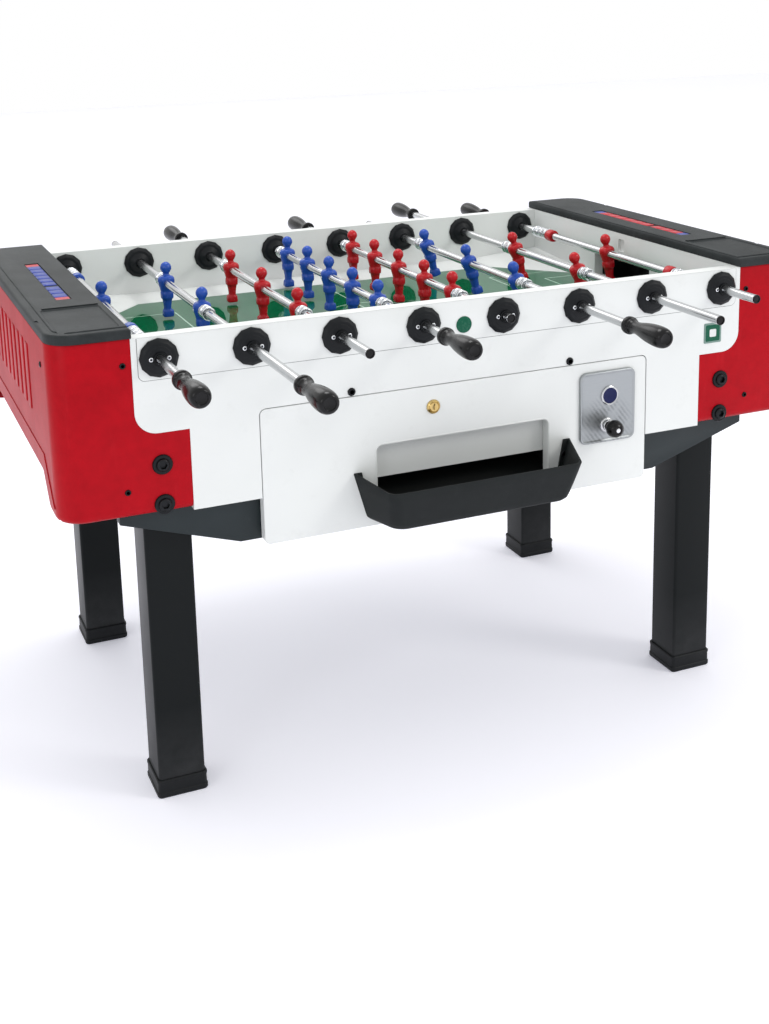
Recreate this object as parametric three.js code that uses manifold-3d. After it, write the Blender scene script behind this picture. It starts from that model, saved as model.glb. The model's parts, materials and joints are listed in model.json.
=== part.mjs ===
// Eight-rod coin-operated table football table for outdoor use.
// Units are millimetres. X runs along the table, +Y to the back, +Z up.
// The origin is on the floor under the centre of the cabinet.

import * as THREE from "three";
import { ConvexGeometry } from "three/addons/geometries/ConvexGeometry.js";
import { mergeVertices } from "three/addons/utils/BufferGeometryUtils.js";
import Module from "manifold-3d";

const wasm = await Module();
wasm.setup();

// ---------------------------------------------------------------- driving dimensions

const GAP = 0.3;

const CABINET = {
  halfWidth: 405, // outer faces of the long panels
  top: 817,
  bottom: 524,
  panel: 25,
  upperHalf: 568, // long panels reach this far above the step
  lowerHalf: 482, // and this far below it
  step: 660,
  stepRadius: 36,
};
const INNER_Y = CABINET.halfWidth - CABINET.panel;

const END = { half: 694, wall: 5, corner: 40, bottom: 527, archTop: 585, archFlat: 281, archFoot: 341 };
const CAP = { inner: 566.5, top: 835, overhang: 4, corner: 44 };
const BOARD = { inner: 566, thick: 20, bottom: 656 };
const GOAL = { half: 107, top: 765 };

const FIELD = {
  z: 710,
  thick: 16,
  halfX: 566,
  flatY: 300, // the flat part ends here, and the strips along the walls rise from it
  stripTop: 716,
  cutX: 400, // the corner ramps start here along the walls
  cutY: 110, // and here along the ends
  cornerTop: 728,
};

const HOUSING = {
  thick: 24,
  bottom: 456,
  flatHalf: 389,
  wingEnd: 583,
  slope: 0.315, // rise of the wings' lower edge
  top: 655,
  board: 8,
  rampHalfY: 262,
  outerBoard: 455,
  rampEnd: 673,
  rampRise: 40,
  rampClear: 6,
};

const LEG = { side: 80, wall: 3, outerX: 555, top: 645, foot: 88, footHeight: 33 };

const DOOR = { half: 366, bottom: 442, top: 674, thick: 20, corner: 10, clearance: 1.5 };
const WINDOW = { half: 166, bottom: 470, top: 584, corner: 10 };
const TRAY = {
  rimHalf: 208,
  frontHalf: 179,
  floorHalf: 162,
  rim: 530,
  ear: 11, // how much the side walls rise towards the door
  floor: 455,
  reach: 100,
  wall: 4,
  spread: 5,
  setback: 26,
};
const DRAWER = { half: 198, board: 8, bottom: 465, top: 594, depth: 250, lift: 2, fall: 45, clear: 8 };
const COIN = { x: 283.5, z: 590.5, width: 114, height: 133, thick: 6, corner: 11, rim: 6, recess: 2 };
const KNOB = { x: 282, z: 556, reach: 30, ball: 16, shank: 6, hole: 14 };
const LOCK = { x: -59, z: 637, radius: 12.5, barrel: 10.2, proud: 5, chamfer: 3, lip: 1.5, slot: 5 };

const ROD = { spacing: 150, z: 782, radius: 8 };
const FLANGE = { radius: 31, edge: 5, dome: 13, bush: 13.7, bore: 8.6 };
const HANDLE = { length: 130, bore: 8.6, boreDepth: 112 };
const MAN = { head: 29, headRadius: 11.5, neck: 20, hub: 12, half: 13, ankle: 52, foot: 67, shoe: 11 };
const SPRING = { radius: 13, bore: 8.6, rib: 12, groove: 2, short: 34, long: 62 };
const RING = { radius: 13, half: 11, place: 235 };

// One entry for each kind of rod: where its men stand, how far its handle and its plain end
// are from the middle of its men, and how long its bumper springs are.
const ROD_KINDS = {
  keeper: {
    men: [0],
    rings: RING.place,
    stop: RING.place + RING.half,
    handle: 555,
    plainEnd: 503,
    spring: SPRING.long,
  },
  defence: { men: [-130, 130], stop: 130 + MAN.half, handle: 655, plainEnd: 597, spring: SPRING.short },
  attack: { men: [-206, 0, 206], stop: 206 + MAN.half, handle: 585, plainEnd: 545, spring: SPRING.short },
  midfield: {
    men: [-252, -126, 0, 126, 252],
    stop: 252 + MAN.half,
    handle: 523,
    plainEnd: 486,
    spring: SPRING.short,
  },
};

// From left to right: the kind, the side its handle is on (-1 front, 1 back), the place along Y
// that the rod rests at, and the angle in degrees by which its men's feet lean towards +X.
const RODS = [
  { kind: "keeper", side: -1, slide: 25, lean: 0 },
  { kind: "defence", side: -1, slide: 17, lean: 0 },
  { kind: "attack", side: 1, slide: 5, lean: 0 },
  { kind: "midfield", side: -1, slide: 46, lean: 0 },
  { kind: "midfield", side: 1, slide: 48, lean: 0 },
  { kind: "attack", side: -1, slide: 33, lean: 16 },
  { kind: "defence", side: 1, slide: -17, lean: 16 },
  { kind: "keeper", side: 1, slide: -10, lean: 8 },
];

// ---------------------------------------------------------------- finishes

const FINISHES = {
  white: [0xe9eceb, 0.35, 0],
  red: [0xba1020, 0.4, 0],
  blue: [0x2346b4, 0.4, 0],
  dark: [0x30363a, 0.7, 0],
  black: [0x1c2426, 0.5, 0],
  legs: [0x161a1c, 0.45, 0.3],
  grip: [0x181818, 0.45, 0],
  chrome: [0xd0d4d8, 0.15, 1],
  steel: [0xb4b8bc, 0.35, 1],
  brass: [0xb08a45, 0.35, 1],
  glass: [0x5f9478, 0.1, 0],
  housing: [0x1e2628, 0.6, 0],
};

function finish(name) {
  const [color, roughness, metalness] = FINISHES[name];
  return new THREE.MeshStandardMaterial({ color, roughness, metalness });
}

// ---------------------------------------------------------------- solids

function toSolid(geometry) {
  const bare = geometry.index ? geometry.toNonIndexed() : geometry.clone();
  bare.deleteAttribute("normal");
  bare.deleteAttribute("uv");
  const merged = mergeVertices(bare, 1e-4);
  const vertProperties = new Float32Array(merged.attributes.position.array);
  const corners = merged.index.array;
  const kept = [];
  for (let i = 0; i < corners.length; i += 3) {
    const [a, b, c] = [corners[i], corners[i + 1], corners[i + 2]];
    if (a !== b && b !== c && c !== a) {
      kept.push(a, b, c);
    }
  }
  const triVerts = new Uint32Array(kept);
  return new wasm.Manifold(new wasm.Mesh({ numProp: 3, vertProperties, triVerts }));
}

function toGeometry(solid) {
  const mesh = solid.getMesh();
  const geometry = new THREE.BufferGeometry();
  geometry.setAttribute("position", new THREE.BufferAttribute(mesh.vertProperties, 3));
  geometry.setIndex(new THREE.BufferAttribute(mesh.triVerts, 1));
  return geometry;
}

function join(first, ...others) {
  return others.reduce((whole, piece) => whole.add(piece), first);
}

function cut(first, ...others) {
  return others.reduce((whole, piece) => whole.subtract(piece), first);
}

// A block between two corners.
function block(x0, x1, y0, y1, z0, z1) {
  const geometry = new THREE.BoxGeometry(x1 - x0, y1 - y0, z1 - z0);
  geometry.translate((x0 + x1) / 2, (y0 + y1) / 2, (z0 + z1) / 2);
  return toSolid(geometry);
}

// A shape drawn on X and Z, as seen from the front, between two places along Y.
function upright(shape, y0, y1, curveSegments = 5) {
  const geometry = new THREE.ExtrudeGeometry(shape, { depth: y1 - y0, bevelEnabled: false, curveSegments });
  geometry.rotateX(Math.PI / 2);
  geometry.translate(0, y1, 0);
  return toSolid(geometry);
}

// A shape drawn on X and Y, as seen from above, between two heights.
function flat(shape, z0, z1, curveSegments = 5) {
  const geometry = new THREE.ExtrudeGeometry(shape, { depth: z1 - z0, bevelEnabled: false, curveSegments });
  geometry.translate(0, 0, z0);
  return toSolid(geometry);
}

// A profile of [radius, distance] points turned about the Y axis, closed on itself or on the axis.
function turned(profile, segments) {
  const points = profile.map(([radius, along]) => new THREE.Vector2(radius, along));
  return toSolid(new THREE.LatheGeometry(points, segments));
}

function rod(radius, y0, y1, segments = 12) {
  return turned([[0, y0], [radius, y0], [radius, y1], [0, y1]], segments);
}

// The convex solid around a list of rectangles [z, half size along X, half size along Y, centre X].
function stack(levels) {
  const points = [];
  for (const [z, halfX, halfY, x = 0] of levels) {
    for (const [sx, sy] of [[-1, -1], [1, -1], [1, 1], [-1, 1]]) {
      points.push(new THREE.Vector3(x + sx * halfX, sy * halfY, z));
    }
  }
  return toSolid(new ConvexGeometry(points));
}

function hull(points) {
  return toSolid(new ConvexGeometry(points.map((point) => new THREE.Vector3(...point))));
}

function roundedRect(x0, x1, y0, y1, radius) {
  const shape = new THREE.Shape();
  shape.moveTo(x0 + radius, y0);
  shape.lineTo(x1 - radius, y0);
  shape.absarc(x1 - radius, y0 + radius, radius, -Math.PI / 2, 0);
  shape.lineTo(x1, y1 - radius);
  shape.absarc(x1 - radius, y1 - radius, radius, 0, Math.PI / 2);
  shape.lineTo(x0 + radius, y1);
  shape.absarc(x0 + radius, y1 - radius, radius, Math.PI / 2, Math.PI);
  shape.lineTo(x0, y0 + radius);
  shape.absarc(x0 + radius, y0 + radius, radius, Math.PI, 1.5 * Math.PI);
  return shape;
}

function polygon(points) {
  return new THREE.Shape(points.map(([x, y]) => new THREE.Vector2(x, y)));
}

// ---------------------------------------------------------------- the group

const table = new THREE.Group();

function add(name, solid, finishName, parent = table) {
  const mesh = new THREE.Mesh(toGeometry(solid), finish(finishName));
  mesh.name = name;
  parent.add(mesh);
  return mesh;
}

function rodX(index) {
  return (index - (RODS.length - 1) / 2) * ROD.spacing;
}

// ---------------------------------------------------------------- long panels

// The stepped outline of a long panel: wide above the step, narrow below it.
function panelShape(grow) {
  const { upperHalf, lowerHalf, step, stepRadius, top, bottom } = CABINET;
  const wide = upperHalf + grow;
  const narrow = lowerHalf + grow;
  const ledge = step - grow;
  const radius = stepRadius + grow;
  const shape = new THREE.Shape();
  shape.moveTo(-narrow, bottom - grow);
  shape.lineTo(narrow, bottom - grow);
  shape.lineTo(narrow, ledge);
  shape.lineTo(wide - radius, ledge);
  shape.absarc(wide - radius, ledge + radius, radius, -Math.PI / 2, 0);
  shape.lineTo(wide, top + grow);
  shape.lineTo(-wide, top + grow);
  shape.lineTo(-wide, ledge + radius);
  shape.absarc(-wide + radius, ledge + radius, radius, Math.PI, 1.5 * Math.PI);
  shape.lineTo(-narrow, ledge);
  return shape;
}

function bushHoles(y0, y1) {
  return RODS.map((_, index) => {
    const hole = new THREE.CylinderGeometry(FLANGE.bush + 2 * GAP, FLANGE.bush + 2 * GAP, y1 - y0, 12);
    hole.translate(rodX(index), (y0 + y1) / 2, ROD.z);
    return toSolid(hole);
  });
}

function longPanel(side) {
  const outer = side * CABINET.halfWidth;
  const inner = side * INNER_Y;
  const [y0, y1] = [Math.min(outer, inner), Math.max(outer, inner)];
  return cut(upright(panelShape(0), y0, y1), ...bushHoles(y0 - 1, y1 + 1));
}

function doorNotch() {
  const { half, bottom, top, corner, clearance } = DOOR;
  const wide = half + clearance;
  const shape = roundedRect(-wide, wide, bottom - corner - 10, top + clearance, corner + clearance);
  return upright(shape, -CABINET.halfWidth - 1, -INNER_Y + 1);
}

add("front_panel", cut(longPanel(-1), doorNotch()), "white");
add("rear_panel", longPanel(1), "white");

// ---------------------------------------------------------------- end boards with the goals

function endBoard(side) {
  const y = INNER_Y - GAP;
  const x0 = side < 0 ? -BOARD.inner - BOARD.thick : BOARD.inner;
  const board = block(x0, x0 + BOARD.thick, -y, y, BOARD.bottom, CABINET.top);
  const mouth = block(x0 - 1, x0 + BOARD.thick + 1, -GOAL.half, GOAL.half, FIELD.z, GOAL.top);
  return board.subtract(mouth);
}

add("left_end_board", endBoard(-1), "white");
add("right_end_board", endBoard(1), "white");

// ---------------------------------------------------------------- end covers

// Seen from above, the cover is a rounded U that closes the end of the cabinet.
function endCover(side) {
  const { half, wall, corner, bottom, archTop, archFlat, archFoot } = END;
  const inner = CABINET.lowerHalf + GAP;
  const outside = new THREE.Shape();
  outside.moveTo(inner, -CABINET.halfWidth);
  outside.lineTo(half - corner, -CABINET.halfWidth);
  outside.absarc(half - corner, -CABINET.halfWidth + corner, corner, -Math.PI / 2, 0);
  outside.lineTo(half, CABINET.halfWidth - corner);
  outside.absarc(half - corner, CABINET.halfWidth - corner, corner, 0, Math.PI / 2);
  outside.lineTo(inner, CABINET.halfWidth);
  const shell = flat(outside, bottom, CABINET.top);
  const hollow = block(inner - 1, half - wall, -INNER_Y, INNER_Y, bottom - 1, CABINET.top + 1);
  const arch = [];
  for (const x of [half - corner - wall, half + 1]) {
    arch.push([x, -archFoot, bottom - 1], [x, archFoot, bottom - 1]);
    arch.push([x, -archFlat, archTop], [x, archFlat, archTop]);
  }
  const panelRoom = upright(panelShape(GAP), -CABINET.halfWidth - 1, CABINET.halfWidth + 1);
  const cover = cut(shell, hollow, hull(arch), panelRoom);
  return side < 0 ? cover.mirror([1, 0, 0]) : cover;
}

add("left_end_cover", endCover(-1), "red");
add("right_end_cover", endCover(1), "red");

// ---------------------------------------------------------------- top caps

const CAP_LABEL = { x: 622, half: 13, y0: -155, y1: 193, depth: 1.5 };
const CAP_TRAY = { x0: 578, x1: 674, y0: -392, y1: -223, depth: 3, corner: 8 };

function topCap(side) {
  const y = CABINET.halfWidth + CAP.overhang;
  const outline = new THREE.Shape();
  outline.moveTo(CAP.inner, -y);
  outline.lineTo(END.half - CAP.corner, -y);
  outline.absarc(END.half - CAP.corner, -y + CAP.corner, CAP.corner, -Math.PI / 2, 0);
  outline.lineTo(END.half, y - CAP.corner);
  outline.absarc(END.half - CAP.corner, y - CAP.corner, CAP.corner, 0, Math.PI / 2);
  outline.lineTo(CAP.inner, y);
  const slab = flat(outline, CABINET.top + GAP, CAP.top);
  const { x, half, y0, y1, depth } = CAP_LABEL;
  const label = block(x - half, x + half, y0, y1, CAP.top - depth, CAP.top + 1);
  const trayOutline = roundedRect(CAP_TRAY.x0, CAP_TRAY.x1, CAP_TRAY.y0, CAP_TRAY.y1, CAP_TRAY.corner);
  const tray = flat(trayOutline, CAP.top - CAP_TRAY.depth, CAP.top + 1, 3);
  const cap = cut(slab, label, tray);
  return side < 0 ? cap.mirror([1, 0, 0]) : cap;
}

add("left_top_cap", topCap(-1), "dark");
add("right_top_cap", topCap(1), "dark");

// ---------------------------------------------------------------- playfield

// The pitch is flat in the middle and rises a little along the walls and in the four corners.
function playfield() {
  const x = FIELD.halfX - GAP;
  const y = INNER_Y - GAP;
  const low = FIELD.z - FIELD.thick;
  const plate = block(-x, x, -y, y, low, FIELD.z);
  const pieces = [plate];
  for (const sy of [-1, 1]) {
    const strip = [];
    for (const end of [-x, x]) {
      strip.push([end, sy * FIELD.flatY, FIELD.z - 1], [end, sy * y, FIELD.z - 1]);
      strip.push([end, sy * FIELD.flatY, FIELD.z + 0.05], [end, sy * y, FIELD.stripTop]);
    }
    pieces.push(hull(strip));
    for (const sx of [-1, 1]) {
      pieces.push(
        hull([
          [sx * FIELD.cutX, sy * FIELD.flatY, FIELD.z - 1],
          [sx * FIELD.cutX, sy * FIELD.flatY, FIELD.z + 0.05],
          [sx * x, sy * FIELD.cutY, FIELD.z - 1],
          [sx * x, sy * FIELD.cutY, FIELD.z + 0.05],
          [sx * x, sy * y, FIELD.z - 1],
          [sx * x, sy * y, FIELD.cornerTop],
          [sx * FIELD.cutX, sy * y, FIELD.z - 1],
          [sx * FIELD.cutX, sy * y, FIELD.stripTop],
        ]),
      );
    }
  }
  return join(...pieces);
}

add("playfield", playfield(), "glass");

// ---------------------------------------------------------------- lower housing

// Front and back aprons with a V-shaped bottom between them, and the two ramps on which
// the balls roll from the goals to the drawer.
function lowerHousing() {
  const { thick, bottom, flatHalf, wingEnd, top, board } = HOUSING;
  const { rampHalfY, outerBoard, rampEnd, rampRise } = HOUSING;
  const outerY = INNER_Y - GAP;
  const innerY = outerY - thick;
  const slope = HOUSING.slope;
  const wingLow = bottom + (wingEnd - flatHalf) * slope;
  const outline = polygon([
    [-flatHalf, bottom],
    [flatHalf, bottom],
    [wingEnd, wingLow],
    [wingEnd, top],
    [-wingEnd, top],
    [-wingEnd, wingLow],
  ]);
  const front = upright(outline, -outerY, -innerY);
  const back = upright(outline, innerY, outerY);
  const drawerSide = DRAWER.half + DRAWER.clear;
  const mouth = block(
    -drawerSide, drawerSide, -outerY - 1, -innerY + 1, DRAWER.bottom - 3, DRAWER.top + DRAWER.clear,
  );
  const rise = (outerBoard - flatHalf) * slope;
  const floor = upright(
    polygon([
      [-outerBoard, bottom + rise],
      [-flatHalf, bottom],
      [flatHalf, bottom],
      [outerBoard, bottom + rise],
      [outerBoard, bottom + rise + board],
      [flatHalf, bottom + board],
      [-flatHalf, bottom + board],
      [-outerBoard, bottom + rise + board],
    ]),
    -innerY - 1,
    innerY + 1,
  );
  const pieces = [front.subtract(mouth), back, floor];
  const rampLow = DRAWER.top + HOUSING.rampClear;
  const rampHigh = rampLow + rampRise;
  for (const side of [-1, 1]) {
    const nearX = [side * drawerSide, side * (drawerSide + board)].sort((a, b) => a - b);
    const farX = [side * (outerBoard - board), side * outerBoard].sort((a, b) => a - b);
    pieces.push(block(nearX[0], nearX[1], -innerY - 1, innerY + 1, bottom + 1, rampLow + 2));
    pieces.push(block(farX[0], farX[1], -innerY - 1, innerY + 1, bottom + rise, rampLow + 10));
    pieces.push(
      upright(
        polygon([
          [side * drawerSide, rampLow],
          [side * rampEnd, rampHigh],
          [side * rampEnd, rampHigh + board],
          [side * drawerSide, rampLow + board],
        ]),
        -rampHalfY,
        rampHalfY,
      ),
    );
  }
  return join(...pieces);
}

add("lower_housing", lowerHousing(), "housing");

// ---------------------------------------------------------------- legs

function leg(sideX, sideY) {
  const { side, wall, outerX, top, foot, footHeight } = LEG;
  const outerY = INNER_Y - GAP - HOUSING.thick - 1;
  const x = sideX * (outerX - side / 2);
  const y = sideY * (outerY - side / 2);
  const half = side / 2;
  const tube = block(x - half, x + half, y - half, y + half, 1, top);
  const bore = block(
    x - half + wall, x + half - wall, y - half + wall, y + half - wall, footHeight - 8, top + 1,
  );
  const shoe = block(x - foot / 2, x + foot / 2, y - foot / 2, y + foot / 2, 0, footHeight);
  return cut(join(tube, shoe), bore);
}

for (const [word, sideY] of [["front", -1], ["rear", 1]]) {
  for (const [side, sideX] of [["left", -1], ["right", 1]]) {
    add(`leg_${word}_${side}`, leg(sideX, sideY), "legs");
  }
}

// ---------------------------------------------------------------- drawer with the ball tray

const DOOR_FACE = -CABINET.halfWidth;
const DOOR_BACK = DOOR_FACE + DOOR.thick;

function drawerFront() {
  const { half, bottom, top, corner } = DOOR;
  const face = upright(roundedRect(-half, half, bottom, top, corner), DOOR_FACE, DOOR_BACK);
  const window = upright(
    roundedRect(-WINDOW.half, WINDOW.half, WINDOW.bottom, WINDOW.top, WINDOW.corner),
    DOOR_FACE - 1,
    DOOR_BACK + 1,
    3,
  );
  const lockBore = LOCK.barrel + GAP;
  const lockHole = new THREE.CylinderGeometry(lockBore, lockBore, DOOR.thick + 2, 16);
  lockHole.translate(LOCK.x, DOOR_FACE + DOOR.thick / 2, LOCK.z);
  const knobHole = rod(KNOB.shank + GAP, DOOR_FACE - 1, DOOR_FACE + KNOB.hole);
  return cut(face, window, toSolid(lockHole), knobHole.translate([KNOB.x, 0, KNOB.z]));
}

add("drawer_front", drawerFront(), "white");

// An open box whose floor falls towards the window in the drawer front.
function drawerBox() {
  const { half, board, bottom, top, depth, lift, fall } = DRAWER;
  const y0 = DOOR_BACK + GAP;
  const y1 = y0 + depth;
  const outside = block(-half, half, y0, y1, bottom, top);
  const frontFloor = WINDOW.bottom + lift;
  const backFloor = frontFloor + fall;
  const inside = hull([
    [-half + board, y0 - 1, frontFloor],
    [half - board, y0 - 1, frontFloor],
    [-half + board, y1 - board, backFloor],
    [half - board, y1 - board, backFloor],
    [-half + board, y0 - 1, top + 1],
    [half - board, y0 - 1, top + 1],
    [-half + board, y1 - board, top + 1],
    [half - board, y1 - board, top + 1],
  ]);
  return outside.subtract(inside);
}

add("drawer_box", drawerBox(), "housing");

// A flared bin that hangs on the drawer front, open on top and towards the window.
function ballTray() {
  const { rimHalf, frontHalf, floorHalf, rim, ear, floor, reach, wall, spread, setback } = TRAY;
  const over = rim + ear + 1;
  const back = DOOR_FACE - GAP;
  const front = DOOR_FACE - reach;
  const outside = hull([
    [-rimHalf, back, rim + ear],
    [rimHalf, back, rim + ear],
    [-frontHalf, front, rim],
    [frontHalf, front, rim],
    [-frontHalf - spread, back, floor],
    [frontHalf + spread, back, floor],
    [-floorHalf, front + setback, floor],
    [floorHalf, front + setback, floor],
  ]);
  const inside = hull([
    [-rimHalf + 2 * wall, back - wall, over],
    [rimHalf - 2 * wall, back - wall, over],
    [-frontHalf + wall, front + wall, over],
    [frontHalf - wall, front + wall, over],
    [-frontHalf + wall, back - wall, floor + wall],
    [frontHalf - wall, back - wall, floor + wall],
    [-floorHalf + wall, front + setback + wall, floor + wall],
    [floorHalf - wall, front + setback + wall, floor + wall],
  ]);
  const mouth = block(-WINDOW.half, WINDOW.half, back - wall - 2, back + 1, WINDOW.bottom, over);
  return cut(outside, inside, mouth);
}

add("ball_tray", ballTray(), "black");

function coinPlate() {
  const { x, z, width, height, thick, corner, rim, recess } = COIN;
  const y1 = DOOR_FACE - GAP;
  const shape = roundedRect(x - width / 2, x + width / 2, z - height / 2, z + height / 2, corner);
  const plate = upright(shape, y1 - thick, y1, 3);
  const face = roundedRect(
    x - width / 2 + rim, x + width / 2 - rim, z - height / 2 + rim, z + height / 2 - rim, corner - rim / 2,
  );
  const well = upright(face, y1 - thick - 1, y1 - thick + recess, 3);
  const guide = rod(KNOB.shank + GAP, y1 - thick - 1, y1 + 1).translate([KNOB.x, 0, KNOB.z]);
  return cut(plate, well, guide);
}

add("coin_plate", coinPlate(), "steel");

// The push knob: a ball on a shank that slides into the coin plate.
function coinKnob() {
  const faceY = DOOR_FACE - GAP - COIN.thick + 2;
  const centre = DOOR_FACE - KNOB.reach;
  const ball = new THREE.SphereGeometry(KNOB.ball, 12, 7);
  ball.translate(KNOB.x, centre, KNOB.z);
  const shank = rod(KNOB.shank, centre, faceY + 2.4).translate([KNOB.x, 0, KNOB.z]);
  return join(toSolid(ball), shank);
}

add("coin_knob", coinKnob(), "grip");

function doorLock() {
  const { x, z, radius, barrel, proud, chamfer, lip, slot } = LOCK;
  const face = DOOR_FACE - GAP;
  const cylinder = turned(
    [
      [0, face - proud],
      [radius - chamfer, face - proud],
      [radius, face - lip],
      [radius, face],
      [barrel, face],
      [barrel, DOOR_BACK - 2],
      [0, DOOR_BACK - 2],
    ],
    16,
  );
  const keyway = block(-1, 1, face - proud - 1, face - proud + 2, -slot, slot);
  return cylinder.subtract(keyway).translate([x, 0, z]);
}

add("door_lock", doorLock(), "brass");

// ---------------------------------------------------------------- bearings

// A twelve-sided flange on each face of the long panel and the bush between them.
function bearing() {
  const { radius, edge, dome, bush, bore } = FLANGE;
  const outer = CABINET.halfWidth + GAP;
  const inner = INNER_Y - GAP;
  return turned(
    [
      [bore, inner - dome],
      [radius, inner - edge],
      [radius, inner],
      [bush, inner],
      [bush, outer],
      [radius, outer],
      [radius, outer + edge],
      [bore, outer + dome],
      [bore, inner - dome],
    ],
    12,
  );
}

RODS.forEach((_, index) => {
  const back = bearing();
  const front = back.mirror([0, 1, 0]);
  add(`front_bearing_${index + 1}`, front.translate([rodX(index), 0, ROD.z]), "black");
  add(`rear_bearing_${index + 1}`, back.translate([rodX(index), 0, ROD.z]), "black");
});

// ---------------------------------------------------------------- rods, men, handles, springs

// One man, with the axis of his rod through the origin along Y. He faces along X.
function man() {
  const { head, headRadius, neck, hub, half, ankle, foot, shoe } = MAN;
  const skull = new THREE.SphereGeometry(headRadius, 7, 4);
  skull.rotateX(Math.PI / 2);
  skull.translate(0, 0, head);
  return join(
    toSolid(skull),
    stack([[neck, 5, 5], [hub, 9, half], [-ankle, 6, 8]]),
    stack([[-ankle + 1, 8, 9], [-foot, shoe, shoe]]),
  );
}

function playerRod(kind, side) {
  const handleEnd = kind.handle + HANDLE.boreDepth - 1;
  const y0 = side < 0 ? -handleEnd : -kind.plainEnd;
  const y1 = side < 0 ? kind.plainEnd : handleEnd;
  const pieces = [rod(ROD.radius, y0, y1)];
  for (const y of kind.men) {
    pieces.push(man().translate([0, y, 0]));
  }
  if (kind.rings) {
    for (const y of [-kind.rings, kind.rings]) {
      pieces.push(rod(RING.radius, y - RING.half, y + RING.half));
    }
  }
  return join(...pieces);
}

// The grip: a collar, a waist and a long bulge, bored from the collar for the rod.
function handle(kind, side) {
  const { length, bore, boreDepth } = HANDLE;
  const start = kind.handle;
  const profile = [
    [bore, 0], [15, 0], [15, 10], [11.5, 20], [14, 52], [18, 92], [17, 118],
    [12, length], [0, length], [0, boreDepth], [bore, boreDepth], [bore, 0],
  ].map(([radius, along]) => [radius, start + along]);
  const grip = turned(profile, 12);
  return side < 0 ? grip.mirror([0, 1, 0]) : grip;
}

// A coil spring that cushions the rod's stroke, closed up as a ribbed sleeve.
function bumperSpring(kind) {
  const { radius, bore, groove } = SPRING;
  const start = kind.stop + GAP;
  const turns = Math.round(kind.spring / SPRING.rib);
  const pitch = kind.spring / turns;
  const profile = [[bore, start]];
  for (let turn = 0; turn < turns; turn++) {
    const from = start + turn * pitch;
    profile.push([radius - groove, from], [radius, from + pitch / 2]);
  }
  profile.push([radius - groove, start + kind.spring], [bore, start + kind.spring], [bore, start]);
  return turned(profile, 10);
}

RODS.forEach(({ kind: kindName, side, slide, lean }, index) => {
  const kind = ROD_KINDS[kindName];
  const number = index + 1;
  const assembly = new THREE.Group();
  assembly.position.set(rodX(index), slide, ROD.z);
  const turning = new THREE.Group();
  turning.rotation.y = THREE.MathUtils.degToRad(-lean);
  assembly.add(turning);
  table.add(assembly);
  add(`rod_${number}`, playerRod(kind, side), side < 0 ? "blue" : "red", turning);
  add(`handle_${number}`, handle(kind, side), "grip", turning);
  add(`bumper_spring_${number}`, bumperSpring(kind), "chrome", assembly);
});

export default table;
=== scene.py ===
"""Looks of an eight-rod table football table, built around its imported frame. Units are metres, +Z up."""

import json
import math

import bmesh
import bpy
from mathutils import Matrix, Vector


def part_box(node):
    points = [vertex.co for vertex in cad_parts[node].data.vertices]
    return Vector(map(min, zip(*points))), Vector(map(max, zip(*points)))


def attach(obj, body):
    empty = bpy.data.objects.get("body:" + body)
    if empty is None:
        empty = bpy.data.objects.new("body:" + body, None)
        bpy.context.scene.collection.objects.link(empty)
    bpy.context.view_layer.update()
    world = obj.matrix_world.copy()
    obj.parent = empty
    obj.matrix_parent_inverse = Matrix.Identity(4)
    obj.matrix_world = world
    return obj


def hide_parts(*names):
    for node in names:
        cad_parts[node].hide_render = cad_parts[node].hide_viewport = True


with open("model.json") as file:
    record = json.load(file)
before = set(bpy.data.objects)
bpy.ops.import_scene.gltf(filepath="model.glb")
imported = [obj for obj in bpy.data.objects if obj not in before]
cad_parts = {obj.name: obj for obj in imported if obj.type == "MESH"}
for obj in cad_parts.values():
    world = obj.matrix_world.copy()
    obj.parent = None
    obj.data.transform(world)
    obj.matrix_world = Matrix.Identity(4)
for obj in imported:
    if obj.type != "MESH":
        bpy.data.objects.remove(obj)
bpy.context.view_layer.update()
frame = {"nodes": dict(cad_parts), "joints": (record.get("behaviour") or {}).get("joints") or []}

bl_info = {
    "name": "Table football maker",
    "version": (1, 0, 0),
    "blender": (4, 5, 0),
    "location": "View3D > Sidebar > Football",
    "description": "Builds the visible pieces of a table football table around its frame",
    "category": "Object",
}

MM = 0.001
FULL_TURN = 2 * math.pi
JOINTS = {joint["name"]: joint for joint in frame["joints"]}


# ---------------------------------------------------------------- places read from the frame

class Box:
    """The lowest and highest corner of a CAD node."""

    def __init__(self, node):
        self.low, self.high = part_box(node)

    @property
    def middle(self):
        return (self.low + self.high) / 2

    @property
    def size(self):
        return self.high - self.low


PANEL = Box("front_panel")
COVER = Box("right_end_cover")
CAP = Box("right_top_cap")
FIELD = Box("playfield")
DOOR = Box("drawer_front")
TRAY = Box("ball_tray")
CHUTE = Box("drawer_box")
COIN = Box("coin_plate")
KNOB = Box("coin_knob")

FACE = -PANEL.low.y          # distance of the long panels' outer faces from the middle
INNER = -PANEL.high.y        # and of their inner faces
TOP = PANEL.high.z
STEP = 660 * MM              # height of the step in the long panels
STEP_RADIUS = 36 * MM
NARROW = 482 * MM            # half length of the long panels below the step
GLASS = FIELD.low.z + 16 * MM
ROD_HEIGHT = JOINTS["rod_1_spin"]["pos_m"][2]
ROD_COUNT = 8
ROD_RADIUS = 8 * MM

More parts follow.
